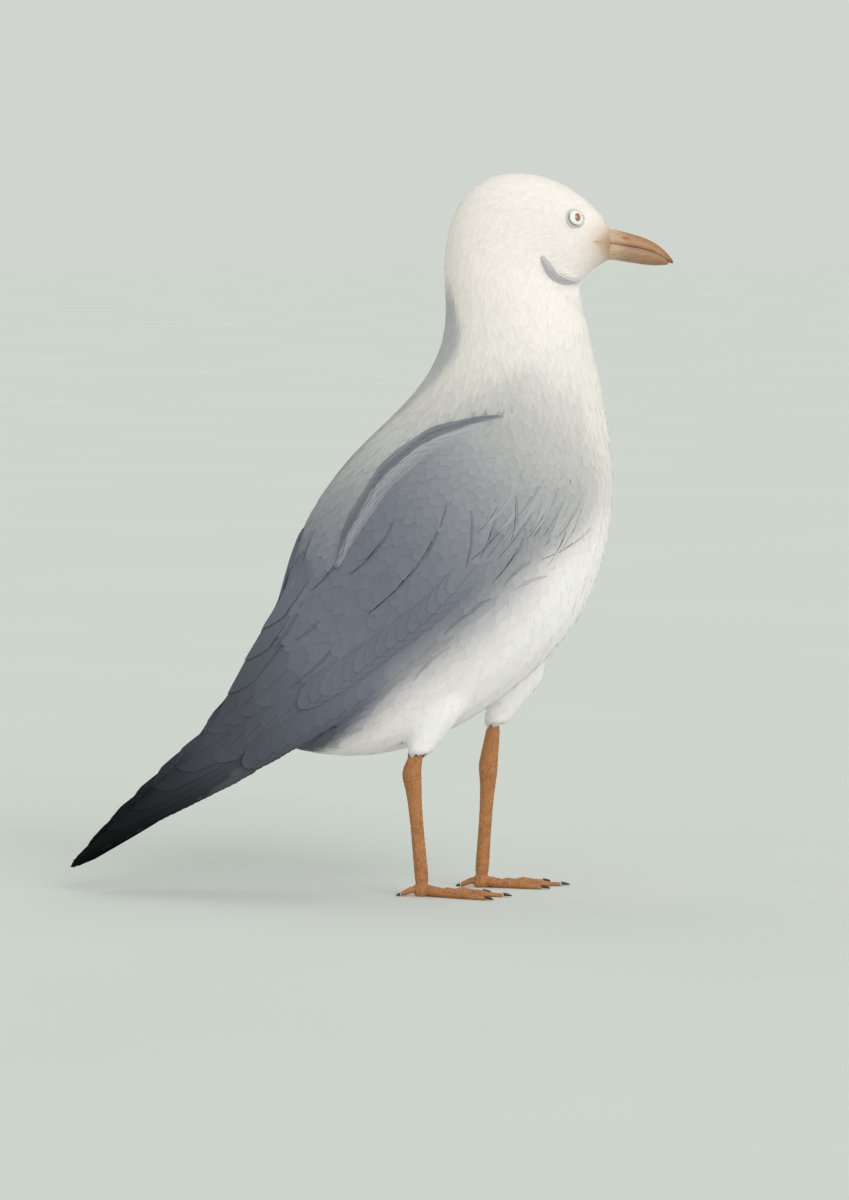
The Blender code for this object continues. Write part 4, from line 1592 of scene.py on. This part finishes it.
@dataclass
class WingFeathers:
    """The large feathers of both wings: primaries, secondaries, tertials and great coverts."""

    coat: Coat
    sink: float = 0.9
    thick: float = 0.16

    def lying(self, s: float, back: float, up: tuple, *size: float, on: float = 0.0) -> Quill:
        """A quill along the wing's lower edge.

        Args:
            s: the place along the wing that it is measured from.
            back: how far its root lies back from there.
            up: how high its root and its tip lie over the edge.
            size: the quill's own bow, width and layer.
            on: how far its tip lies on from there.

        Returns:
            The quill.
        """
        wing = self.coat.lie.wing
        low = float(wing.lower_edge(s))
        return Quill(wing.place(s - back, low + up[0]), wing.place(s + on, low + up[1]), *size)

    def primaries(self) -> list[Quill]:
        """The black primaries: the longest lies lowest, and each next one over it."""
        tips = (
            (-125.8, 11.6), (-119, 19.2), (-111, 27.2),
            (-101.5, 35.6), (-91.5, 44.2), (-81.5, 52.6),
        )
        roots = ((-38, 63.5), (-36.5, 67.5), (-36, 71.5), (-36, 75.5), (-36, 80), (-36, 84))
        widths = (9.0, 10.5, 12.0, 13.0, 14.0, 15.0)
        found = []
        for i, (root, tip, width) in enumerate(zip(roots, tips, widths)):
            found.append(Quill(root, tip, 2.0 - 0.4 * i, width, 0.15 + 0.15 * i, 6.0))
        return found

    def secondaries(self) -> list[Quill]:
        """The secondaries, whose tips step along the lower edge, and the primaries' coverts."""
        found = []
        for i in range(13):
            size = (-0.6, 12.5, 0.25 + 0.06 * i)
            found.append(self.lying(100.0 + 7.0 * i, 50.0, (13.0, 6.0), *size))
        # the coverts of the primaries, in two rows above them
        for i in range(9):
            s, up = (156.0 + 8.0 * i, 14.5) if i < 5 else (120.0 + 8.0 * i, 26.0)
            size = (0.4, 15.0, 0.34 + 0.03 * i)
            found.append(self.lying(s, 42.0, (up + 10.0, up), *size, on=5.0))
        return found

    def tertials(self) -> list[Quill]:
        """The long dark tertials that step down the back over the folded wing."""
        tips = ((-76.4, 57.8), (-69.0, 71.5), (-60.6, 85.2), (-53.6, 99.0), (-46.8, 112.2))
        roots = ((-38, 103), (-33, 117), (-28, 131), (-23, 145), (-17, 158))
        found = []
        for i, (root, tip) in enumerate(zip(roots, tips)):
            found.append(Quill(root, tip, 1.6, 18.0 - 0.6 * i, 0.5 + 0.14 * i, 1.6))
        return found

    def great_coverts(self) -> list[Quill]:
        """The great coverts over the bases of the secondaries."""
        found = []
        for i in range(15):
            size = (-0.5, 11.0, 0.75 + 0.03 * i)
            found.append(self.lying(72.0 + 5.6 * i, 30.0, (22.0, 16.0), *size))
        return found

    def build(self, material: Material, rng: Generator) -> None:
        """Makes one piece for each group of each wing."""
        groups = (
            ("primaries", self.primaries, VaneTemplate(16, 8, 0.1, 0.7, 0.5)),
            ("secondaries", self.secondaries, VaneTemplate(12, 8, 0.16, 0.7, 0.8)),
            ("tertials", self.tertials, VaneTemplate(14, 8, 0.2, 0.6, 0.75)),
            ("great_coverts", self.great_coverts, VaneTemplate(8, 8, 0.22, 0.6, 0.8)),
        )
        for label, quills, template in groups:
            for side in Side:
                black = label == "primaries"
                made = quill_feathers(quills(), side, self.sink, self.thick)
                made.shade = rng.uniform(0.97, 1.03, len(made))
                soft = 0.0 if black else 0.4
                piece = self.coat.mesh(f"{label}_{side.label}", template, made, rng, side, soft)
                nodes = ["wingtip_" + side.label] if black else []
                finished(piece, material, nodes)


@dataclass(frozen=True)
class PlumeRow:
    """Narrow plumes that follow one line on the bird's side, in rows next to each other."""

    points: tuple
    tone: tuple
    share: float
    width: float
    length: float
    step: float
    offsets: tuple

    def quills(self) -> list[Quill]:
        """The plumes, which grow narrower towards the line's ends."""
        points = np.array(self.points, float)
        lengths = np.linalg.norm(np.diff(points, axis=0), axis=1)
        runs = np.concatenate([[0], np.cumsum(lengths)])
        found = []
        for row, offset in enumerate(self.offsets):
            starts = np.arange(row * self.step / 3.0, runs[-1] - self.length * 0.45, self.step)
            for start in starts:
                marks = np.minimum(np.array((0.0, 0.5, 1.0)) * self.length + start, runs[-1])
                ways = [np.interp(marks, runs, points[:, i]) for i in (0, 1)]
                root, middle, tip = np.stack(ways, 1)
                share = min((marks[0] * 0.6 + marks[1] * 0.4) / runs[-1], 1.0)
                body = math.sin(math.pi * share) ** 0.8
                chord = (tip - root) / np.linalg.norm(tip - root)
                above = np.array((chord[1], -chord[0]))
                sag = float((middle - (root + tip) / 2) @ above)
                move = above * offset * body
                ends = tuple(root + move), tuple(tip + move)
                size = sag, self.width * (0.2 + 0.8 * body), 0.28 + 0.04 * row
                found.append(Quill(*ends, *size, 0.5, 1.0, self.tone, self.share))
        return found


@dataclass
class Plumes:
    """Narrow loose plumes that lie over the coat: the shoulder's edge, the cheek and the wing.

    The shoulder's dark row is painted shadow, and the cheek's rows are painted shade and highlight.
    """

    coat: Coat
    shoulder: tuple = (
        PlumeRow(
            ((50, 198.5), (38, 195.5), (21, 188), (3.5, 173), (-9.5, 151), (-15, 138)),
            (188, 188, 193), 0.26, 2.8, 20.0, 6.0, (-2.6, -1.0, 0.6),
        ),
        # dark plumes of painted shadow along the shoulder's edge
        PlumeRow(
            (
                (58, 201.7), (50, 200.9), (42, 199.8), (24, 194.3), (5.5, 179.8), (-9.2, 156.7),
                (-15, 138),
            ),
            (108, 111, 123), 0.6, 2.6, 20.0, 3.6, (-1.6, -0.3, 1.0),
        ),
    )
    cheek: tuple = (
        # painted highlight above the cheek's crescent
        PlumeRow(
            ((87.5, 259.2), (83, 257.8), (77, 260), (73.2, 267)),
            (252, 245, 239), 0.55, 1.9, 7.0, 2.0, (1.6, 2.8),
        ),
        # the cheek's crescent of painted shade
        PlumeRow(
            ((86, 256.4), (83, 255.9), (75.8, 258.6), (70.6, 267.4)),
            (160, 159, 166), 0.66, 2.0, 7.5, 1.6, (0.9, 0.0, -0.9),
        ),
    )
    fan: int = 22
    # root, tip and bow of single dark plumes in the wing
    dark: tuple = (
        ((31.5, 170), (2.5, 126), -7.5), ((38.6, 169), (38, 140), -4),
        ((57.5, 174), (57.5, 153), -3), ((50.8, 169), (45.4, 146), -3),
        ((-20, 157), (-28, 141), 2), ((-10.5, 151), (-23.5, 131), -3),
        ((20.6, 117), (-0.8, 88), -4.5), ((69.3, 142), (56, 132.3), 2),
        ((72.7, 135), (59.2, 129.4), 1), ((44, 121), (30.7, 111.7), 1.5),
        ((53.8, 127.3), (37.8, 118), 1.5), ((93.5, 160), (76, 146.6), -5),
        ((-14.7, 107.5), (-34.4, 88.2), -1.5), ((-19.7, 119), (-32, 108), -1),
        ((10, 163), (-7, 139), -4), ((64, 160), (52, 137), -4), ((0, 110), (-17, 96), -1.5),
        ((-27, 128), (-41, 103), -1), ((-18, 84), (-39, 74), -1), ((33, 106), (18, 92), 1.5),
    )

    def wing_quills(self, rng: Generator) -> list[Quill]:
        """The dark plumes and, over the bend of the wing, a fan of pale and dark ones."""
        found = []
        for root, tip, sag in self.dark:
            found.append(Quill(root, tip, sag, 1.3, 0.27, 0.5, 0.84))
        for i in range(self.fan):
            share = i / (self.fan - 1)
            x, z = 92.0 - 34.0 * share, 178.0 - 3.0 * share + rng.uniform(-9.0, 5.0)
            length = rng.uniform(20.0, 32.0)
            turn = math.radians(248.0 - 14.0 * share + rng.uniform(-5.0, 5.0))
            tip = (x + length * math.cos(turn), z + length * math.sin(turn))
            pale = i % 3 != 2
            tone = 0.24 - 0.14 * share if pale else 0.0
            shade = 1.0 if pale else 0.88
            width = rng.uniform(2.2, 3.4) if pale else 1.2
            bow = rng.uniform(-3.5, -1.0)
            found.append(Quill((x, z), tip, bow, width, 0.2, 0.5, shade, (206, 206, 208), tone))
        return found

    def build(self, material: Material, rng: Generator) -> None:
        """Makes the plumes of both sides."""
        fine = VaneTemplate(10, 4, 0.5, 0.3, 0.35, 1.3)
        shoulder = [quill for row in self.shoulder for quill in row.quills()]
        cheek = [quill for row in self.cheek for quill in row.quills()]
        groups = (
            ("wing_plumes", shoulder + self.wing_quills(rng), 0.12, "grey_feathers"),
            ("cheek_highlight_and_shade_plumes", cheek, 0.08, "white_feathers"),
        )
        for label, quills, sink, slot in groups:
            for side in Side:
                made = quill_feathers(quills, side, sink, 0.05)
                piece = self.coat.mesh(f"{label}_{side.label}", fine, made, rng, side, 0.85)
                finished(piece, material, [])


@dataclass
class Tail:
    """The closed white tail, twelve flat feathers in a shallow fan."""

    coat: Coat
    root: tuple = (-34.0, 73.0)
    tip: tuple = (-91.0, 33.2)
    half_width: float = 13.0
    feather_width: float = 9.5
    feathers: int = 12
    thick: float = 0.3

    def build(self, material: Material, rng: Generator) -> None:
        """Makes the tail: the middle feathers lie on top."""
        count = self.feathers
        spot = np.linspace(-1.0, 1.0, count)
        start = np.array((self.root[0], 0.0, self.root[1]))
        end = np.array((self.tip[0], 0.0, self.tip[1]))
        along = unit(end - start)
        up = np.array((along[2], 0.0, -along[0]))
        up = up if up[2] > 0 else -up
        template = VaneTemplate(12, 6, 0.12, 0.5, 0.95)
        u, v = template.grid()
        size = len(u)
        u, v = np.tile(u, (count, 1)), np.tile(v, (count, 1))
        first = template.tooth(0)
        u[:, first:] += rng.uniform(0.002, 0.01, (count, template.columns))
        length = np.full(count, np.linalg.norm(end - start)) * (1.0 - 0.02 * np.abs(spot))
        middle = spot[:, None] * (4.5 + (self.half_width - 4.5) * u)
        out = v * template.width(np.minimum(u, 1)) * self.feather_width / 2
        y = middle + out * (0.75 + 0.25 * u)
        y = np.clip(y, -15.4, 15.4)
        layer = (1.0 - np.abs(spot))[:, None] * 1.4 - 0.012 * out**2 - 0.5
        places = start + along * (u * length[:, None])[..., None]
        places = places + up * layer[..., None] + y[..., None] * np.array((0.0, 1.0, 0.0))
        twins = template.lower_sources()
        lower = places[:, twins] - up * self.thick
        places = np.concatenate([places, lower], 1)
        u, v, out = (np.concatenate([a, a[:, twins]], 1) for a in (u, v, out))
        zero = np.zeros(count)
        made = Feathers(
            root=start + along * 4.0 + spot[:, None] * np.array((0.0, 6.0, 0.0)),
            way=np.tile(along, (count, 1)),
            normal=np.tile(up, (count, 1)),
            length=length,
            width=np.full(count, self.feather_width),
            sink=zero, lift=zero, thick=zero + self.thick, fringe=zero, reach=zero,
            shade=rng.uniform(0.97, 1.01, count),
            bend=zero, arch=zero, tone=np.zeros((count, 3)), toned=zero,
        )
        piece = self.coat.write("tail_feathers", template, made, places, (u, v, out))
        white = np.tile(np.append(paint(236, 234, 230), 0.3), (count * (size + len(twins)), 1))
        layer = piece.data.attributes["Plumage"]
        layer.data.foreach_set("color", white.astype(np.float32).ravel())
        finished(piece, material, ["tail"])


# ----------------------------------------
# Bill, eyes, legs and claws


@dataclass
class Bill:
    """The two halves of the bill, smoothed from the CAD solids, with a slit for each nostril."""

    voxel: float = 0.26
    swell: float = 0.32
    passes: int = 8
    root_x: float = 101.5
    mouth_z: float = 272.0
    nostril: tuple = (105.6, 274.6)
    slit: tuple = (2.1, 0.5)
    slope: float = -0.28
    depth: float = 0.55
    closing: float = 1.35
    upper: HornFinish = HornFinish("horn_upper", (212, 182, 153), (184, 139, 100), (160, 113, 71))
    lower: HornFinish = HornFinish("horn_lower", (206, 176, 148), (170, 138, 112), (158, 116, 78))

    def build(self) -> None:
        """Makes both halves."""
        for half in ("bill_upper", "bill_lower"):
            made = node_copy(half + "_horn", [half], self.swell)
            remeshed(made, self.voxel, self.passes, 0.0)
            places, normals = places_of(made.data), normals_of(made.data)
            slim = 1.0 - 0.35 * smoothstep(0.0, 8.0, self.root_x - 1.0 - places[:, 0])
            places[:, 1] *= slim
            places[:, 2] = self.mouth_z + (places[:, 2] - self.mouth_z) * slim
            behind = np.clip(self.root_x - places[:, 0], 0.0, 2.0)
            places[:, 0] -= behind * 2.0
            x, z = places[:, 0] - self.nostril[0], places[:, 2] - self.nostril[1]
            lean = z - x * self.slope
            pit = np.exp(-((x / self.slit[0]) ** 4) - (lean / self.slit[1]) ** 2)
            outward = np.sign(places[:, 1])
            if half == "bill_upper":
                places[:, 1] -= outward * pit * np.minimum(self.depth, np.abs(places[:, 1]) * 0.6)
                ridge = smoothstep(0.72, 0.98, normals[:, 2]) + smoothstep(0.2, 0.7, -normals[:, 2])
            else:
                places[:, 2] += self.closing * smoothstep(0.1, 0.8, normals[:, 2])
                ridge = smoothstep(0.4, 0.8, normals[:, 2])
            move_places(made.data, places)
            ridge = ridge * smoothstep(101.0, 106.0, places[:, 0])
            ridge = ridge + 0.8 * smoothstep(123.5, 125.6, places[:, 0])
            store_values(made.data, "Ridge", np.clip(ridge, 0.0, 1.0))
            finish = self.upper if half == "bill_upper" else self.lower
            finished(made, finish.build(), [half])


@dataclass
class Eye:
    """One eye: its ball with a bulging clear front, and the ring of its lids."""

    sizes: Eyes
    side: Side
    segments: int = 48
    bulge: float = 0.28
    rim: float = 0.12

    def frame_of(self) -> tuple[Array, Array, Array]:
        """The way the eye looks, and two ways across it: forward and up."""
        look = self.sizes.axis(self.side)
        ahead = unit(np.array((1.0, 0.0, 0.0)) - look * look[0])
        up = np.cross(ahead, look) * self.side.value
        return look, ahead, up if up[2] > 0 else -up

    def ball(self, material: Material) -> None:
        """Makes the eyeball."""
        middle = self.sizes.middle(self.side)
        bpy.ops.object.select_all(action="DESELECT")
        bpy.ops.mesh.primitive_uv_sphere_add(
            segments=self.segments, ring_count=self.segments, radius=self.sizes.radius * MM
        )
        made = bpy.context.object
        made.name = "eyeball_" + self.side.label
        made.data.name = made.name
        look, ahead, up = self.frame_of()
        local = places_of(made.data)
        away = np.arccos(np.clip(local[:, 2] / self.sizes.radius, -1, 1)) * self.sizes.radius
        bulge = self.bulge * fade(0.5, 3.6, away)
        # the pupil is taller than wide
        x, y = local[:, 0], local[:, 1]
        tall = np.hypot(x / 0.9, y / 1.22) / np.maximum(np.hypot(x, y), 1e-6)
        local = unit(local) * (self.sizes.radius + bulge)[:, None]
        turn = ahead * local[:, :1] + up * local[:, 1:2] + look * local[:, 2:]
        move_places(made.data, middle + turn)
        away = away * (1.0 + (tall - 1.0) * fade(1.9, 2.7, away))
        store_values(made.data, "Ring", away)
        self._outward(made, middle)
        finished(made, material, ["eye_" + self.side.label])

    def _outward(self, made: Object, middle: Array) -> None:
        """Turns the faces outwards if the placing has turned them in."""
        face = made.data.polygons[0]
        offset = np.array(face.center) / MM - middle
        if float(np.dot(offset, np.array(face.normal))) < 0:
            made.data.flip_normals()

    def lids(self, material: Material) -> None:
        """Makes the ring of both lids, a low rounded rim that is a little longer than high."""
        middle = self.sizes.middle(self.side)
        look, ahead, up = self.frame_of()
        # how far from the opening's edge, and how far over the ball, round the rim's section
        section = (
            (0.0, -0.02), (0.04, 0.08), (0.14, 0.14), (0.34, 0.13),
            (0.65, 0.04), (1.4, -0.7), (0.6, -0.7), (0.1, -0.3),
        )
        rings = []
        for i in range(self.segments):
            a = 2 * math.pi * i / self.segments
            c, s = math.cos(a), math.sin(a)
            stretch = 1.0 + 0.05 * abs(c) ** 2 - 0.03 * abs(s) ** 2
            ring = []
            for aside, over in section:
                away = (self.sizes.opening * stretch + aside) / self.sizes.radius
                out = self.sizes.radius + self.rim + over
                spot = look * math.cos(away) + (ahead * c + up * s) * math.sin(away)
                ring.append(middle + spot * out)
            rings.append(ring)
        shape = bmesh.new()
        loops = [[shape.verts.new(Vector(p * MM)) for p in ring] for ring in rings]
        for i, one in enumerate(loops):
            two = loops[(i + 1) % len(loops)]
            for j in range(len(one)):
                k = (j + 1) % len(one)
                shape.faces.new((one[j], two[j], two[k], one[k]))
        bmesh.ops.recalc_face_normals(shape, faces=shape.faces)
        mesh = bpy.data.meshes.new("eyelids_" + self.side.label)
        shape.to_mesh(mesh)
        shape.free()
        made = linked(mesh.name, mesh)
        applied(made, "SUBSURF", levels=2, render_levels=2)
        # the share of painted shade on the lids' rear and lower side
        offset = unit(places_of(made.data) - middle)
        rear = smoothstep(0.0, 0.5, -(offset @ ahead) * 0.75 - (offset @ up) * 0.66)
        store_values(made.data, "Ring", rear)
        finished(made, material, [])


@dataclass
class Leg:
    """One bare leg with its webbed foot, in one scaly skin, and the claws on its toes."""

    side: Side
    voxel: float = 0.36
    swell: float = 0.2
    scute: float = 2.3
    relief: float = 0.13
    passes: int = 8
    claw_swell: float = 0.05

    def build(self, material: Material) -> None:
        """Makes the leg and foot as one skin with rows of scutes."""
        label = self.side.label
        nodes = ["leg_" + label, "foot_" + label]
        made = node_copy(f"leg_foot_{label}", nodes, self.swell)
        remeshed(made, self.voxel, self.passes, self.swell)
        places, normals = places_of(made.data), normals_of(made.data)
        places = places + normals * self.scales(places, normals)[:, None]
        places[:, 2] = np.maximum(places[:, 2], 0.0)
        move_places(made.data, places)
        finished(made, material, nodes)

    def scales(self, places: Array, normals: Array) -> Array:
        """How high the scales stand: broad down the front and along the toes, small elsewhere."""
        foot = np.array(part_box("foot_" + self.side.label)) / MM
        heel = np.array((foot[0][0] + 9.0, (foot[0][1] + foot[1][1]) / 2))
        run = np.hypot(places[:, 0] - heel[0], places[:, 1] - heel[1])
        on_toe = fade(5.0, 9.0, places[:, 2])
        phase = (run * on_toe + places[:, 2] * (1.0 - on_toe)) / self.scute
        saw = phase - np.floor(phase)
        scute = 1.0 - np.exp(-((saw / 0.16) ** 2)) - np.exp(-(((1 - saw) / 0.16) ** 2))
        front = smoothstep(0.1, 0.6, normals[:, 0]) * (1.0 - on_toe)
        top = smoothstep(0.3, 0.8, normals[:, 2]) * on_toe * smoothstep(1.6, 2.4, places[:, 2])
        broad = np.maximum(front, top)
        fine = np.array([noise.noise(Vector(p) * 1.3) for p in places.tolist()])
        return self.relief * (scute * broad + fine * (1.0 - broad)) - 0.02

    def claws(self, material: Material) -> None:
        """Makes the four claws of the foot."""
        label = self.side.label
        nodes = [f"claw_{label}_{toe}" for toe in ("inner", "middle", "outer", "hind")]
        made = node_copy(f"claws_{label}", nodes, self.claw_swell)
        applied(made, "SUBSURF", levels=2, render_levels=2)
        finished(made, material, nodes)


# ----------------------------------------
# Floor, light and camera


@dataclass
class Studio:
    """A plain pale floor, soft light, and a long lens level with the bird.

    The floor's radius is in metres.
    """

    aim: tuple = (22.0, 0.0, 123.0)
    view_height: float = 504.0
    distance: float = 2600.0
    elevation: float = 3.5
    sensor: float = 36.0
    floor_radius: float = 40.0
    floor_colour: tuple = (211, 215, 212)
    sky_colour: tuple = (208, 214, 207)

    def floor(self) -> None:
        """Lays the floor."""
        bpy.ops.object.select_all(action="DESELECT")
        bpy.ops.mesh.primitive_circle_add(
            vertices=96, radius=self.floor_radius, fill_type="NGON", location=(0, 0, 0)
        )
        floor = bpy.context.object
        floor.name = "floor"
        floor.data.materials.append(FloorFinish("floor_matt", self.floor_colour).build())

    def sun(self, name: str, way: tuple, power: float, softness: float, tint: tuple) -> None:
        """Adds a broad soft light that reaches the floor evenly.

        Args:
            name: the light's name.
            way: the direction it shines in.
            power: its strength.
            softness: the width of its disc, in degrees.
            tint: its colour.
        """
        lamp = bpy.data.lights.new(name, "SUN")
        lamp.energy = power
        lamp.angle = math.radians(softness)
        lamp.color = tint
        holder = linked(name, lamp)
        holder.rotation_euler = Vector(way).to_track_quat("-Z", "Y").to_euler()
        holder.location = -Vector(way)

    def camera(self) -> None:
        """Places the camera."""
        lens = bpy.data.cameras.new("camera")
        lens.sensor_width = self.sensor
        lens.lens = self.sensor * self.distance / self.view_height
        lens.clip_start, lens.clip_end = 0.05, 200.0
        holder = linked("camera", lens)
        tilt = math.radians(self.elevation)
        aim = Vector(self.aim) * MM
        back = Vector((0.0, -math.cos(tilt), math.sin(tilt))) * self.distance * MM
        holder.location = aim + back
        holder.rotation_euler = (-back).to_track_quat("-Z", "Y").to_euler()
        bpy.context.scene.camera = holder

    def build(self) -> None:
        """Sets up the whole studio."""
        self.floor()
        self.sun("key", (-0.5, 0.82, -0.6), 1.15, 36.0, (1.0, 0.972, 0.955))
        self.sun("rim", (0.5, -0.7, -0.9), 0.3, 50.0, (1.0, 0.98, 0.97))
        self.sun("low_right", (-0.85, 0.5, -0.1), 0.35, 50.0, (1.0, 0.972, 0.955))
        self.sun("low_left", (0.4, 0.9, -0.08), 0.3, 50.0, (1.0, 0.972, 0.955))
        world = bpy.data.worlds.new("world")
        world.use_nodes = True
        sky = world.node_tree.nodes["Background"]
        sky.inputs["Color"].default_value = opaque(self.sky_colour)
        sky.inputs["Strength"].default_value = 1.0
        bpy.context.scene.world = world
        bpy.context.scene.view_settings.view_transform = "Standard"
        self.camera()
        LOG.info("studio ready")


# ----------------------------------------
# The whole gull


def main() -> None:
    """Builds the gull and its studio."""
    rng = np.random.default_rng(SEED)
    wing, eyes = WingPlan(), Eyes()
    lie, marking = Lie(wing), Marking(wing)
    form = BodyForm().build()
    Skin(form, marking, lie).build(SkinFinish("skin_down").build())
    coat = Coat(form, marking, lie)
    soft = FeatherFinish("soft_feathers", 0.85, 0.04, 22.0, 0.0, 0.08, 0.15).build()
    firm = FeatherFinish("flight_feathers", 0.7, 0.07, 14.0, 0.3, 0.0, 0.05).build()
    ContourPlumage(coat, eyes).build(soft, rng)
    WingFeathers(coat).build(firm, rng)
    Plumes(coat).build(soft, rng)
    Tail(coat).build(soft, rng)
    form.remove()
    Bill().build()
    iris = IrisFinish("iris", eyes.pupil, eyes.iris).build()
    lid = LidFinish("lid_skin", (214, 212, 213), (152, 152, 160)).build()
    leg_skin = LegFinish("leg_scutes", (190, 128, 76), (120, 76, 44)).build()
    claw = ClawFinish("claw_horn").build()
    for side in Side:
        eye = Eye(eyes, side)
        eye.ball(iris)
        eye.lids(lid)
        leg = Leg(side)
        leg.build(leg_skin)
        leg.claws(claw)
    Studio().build()


if __name__ == "__main__":
    main()
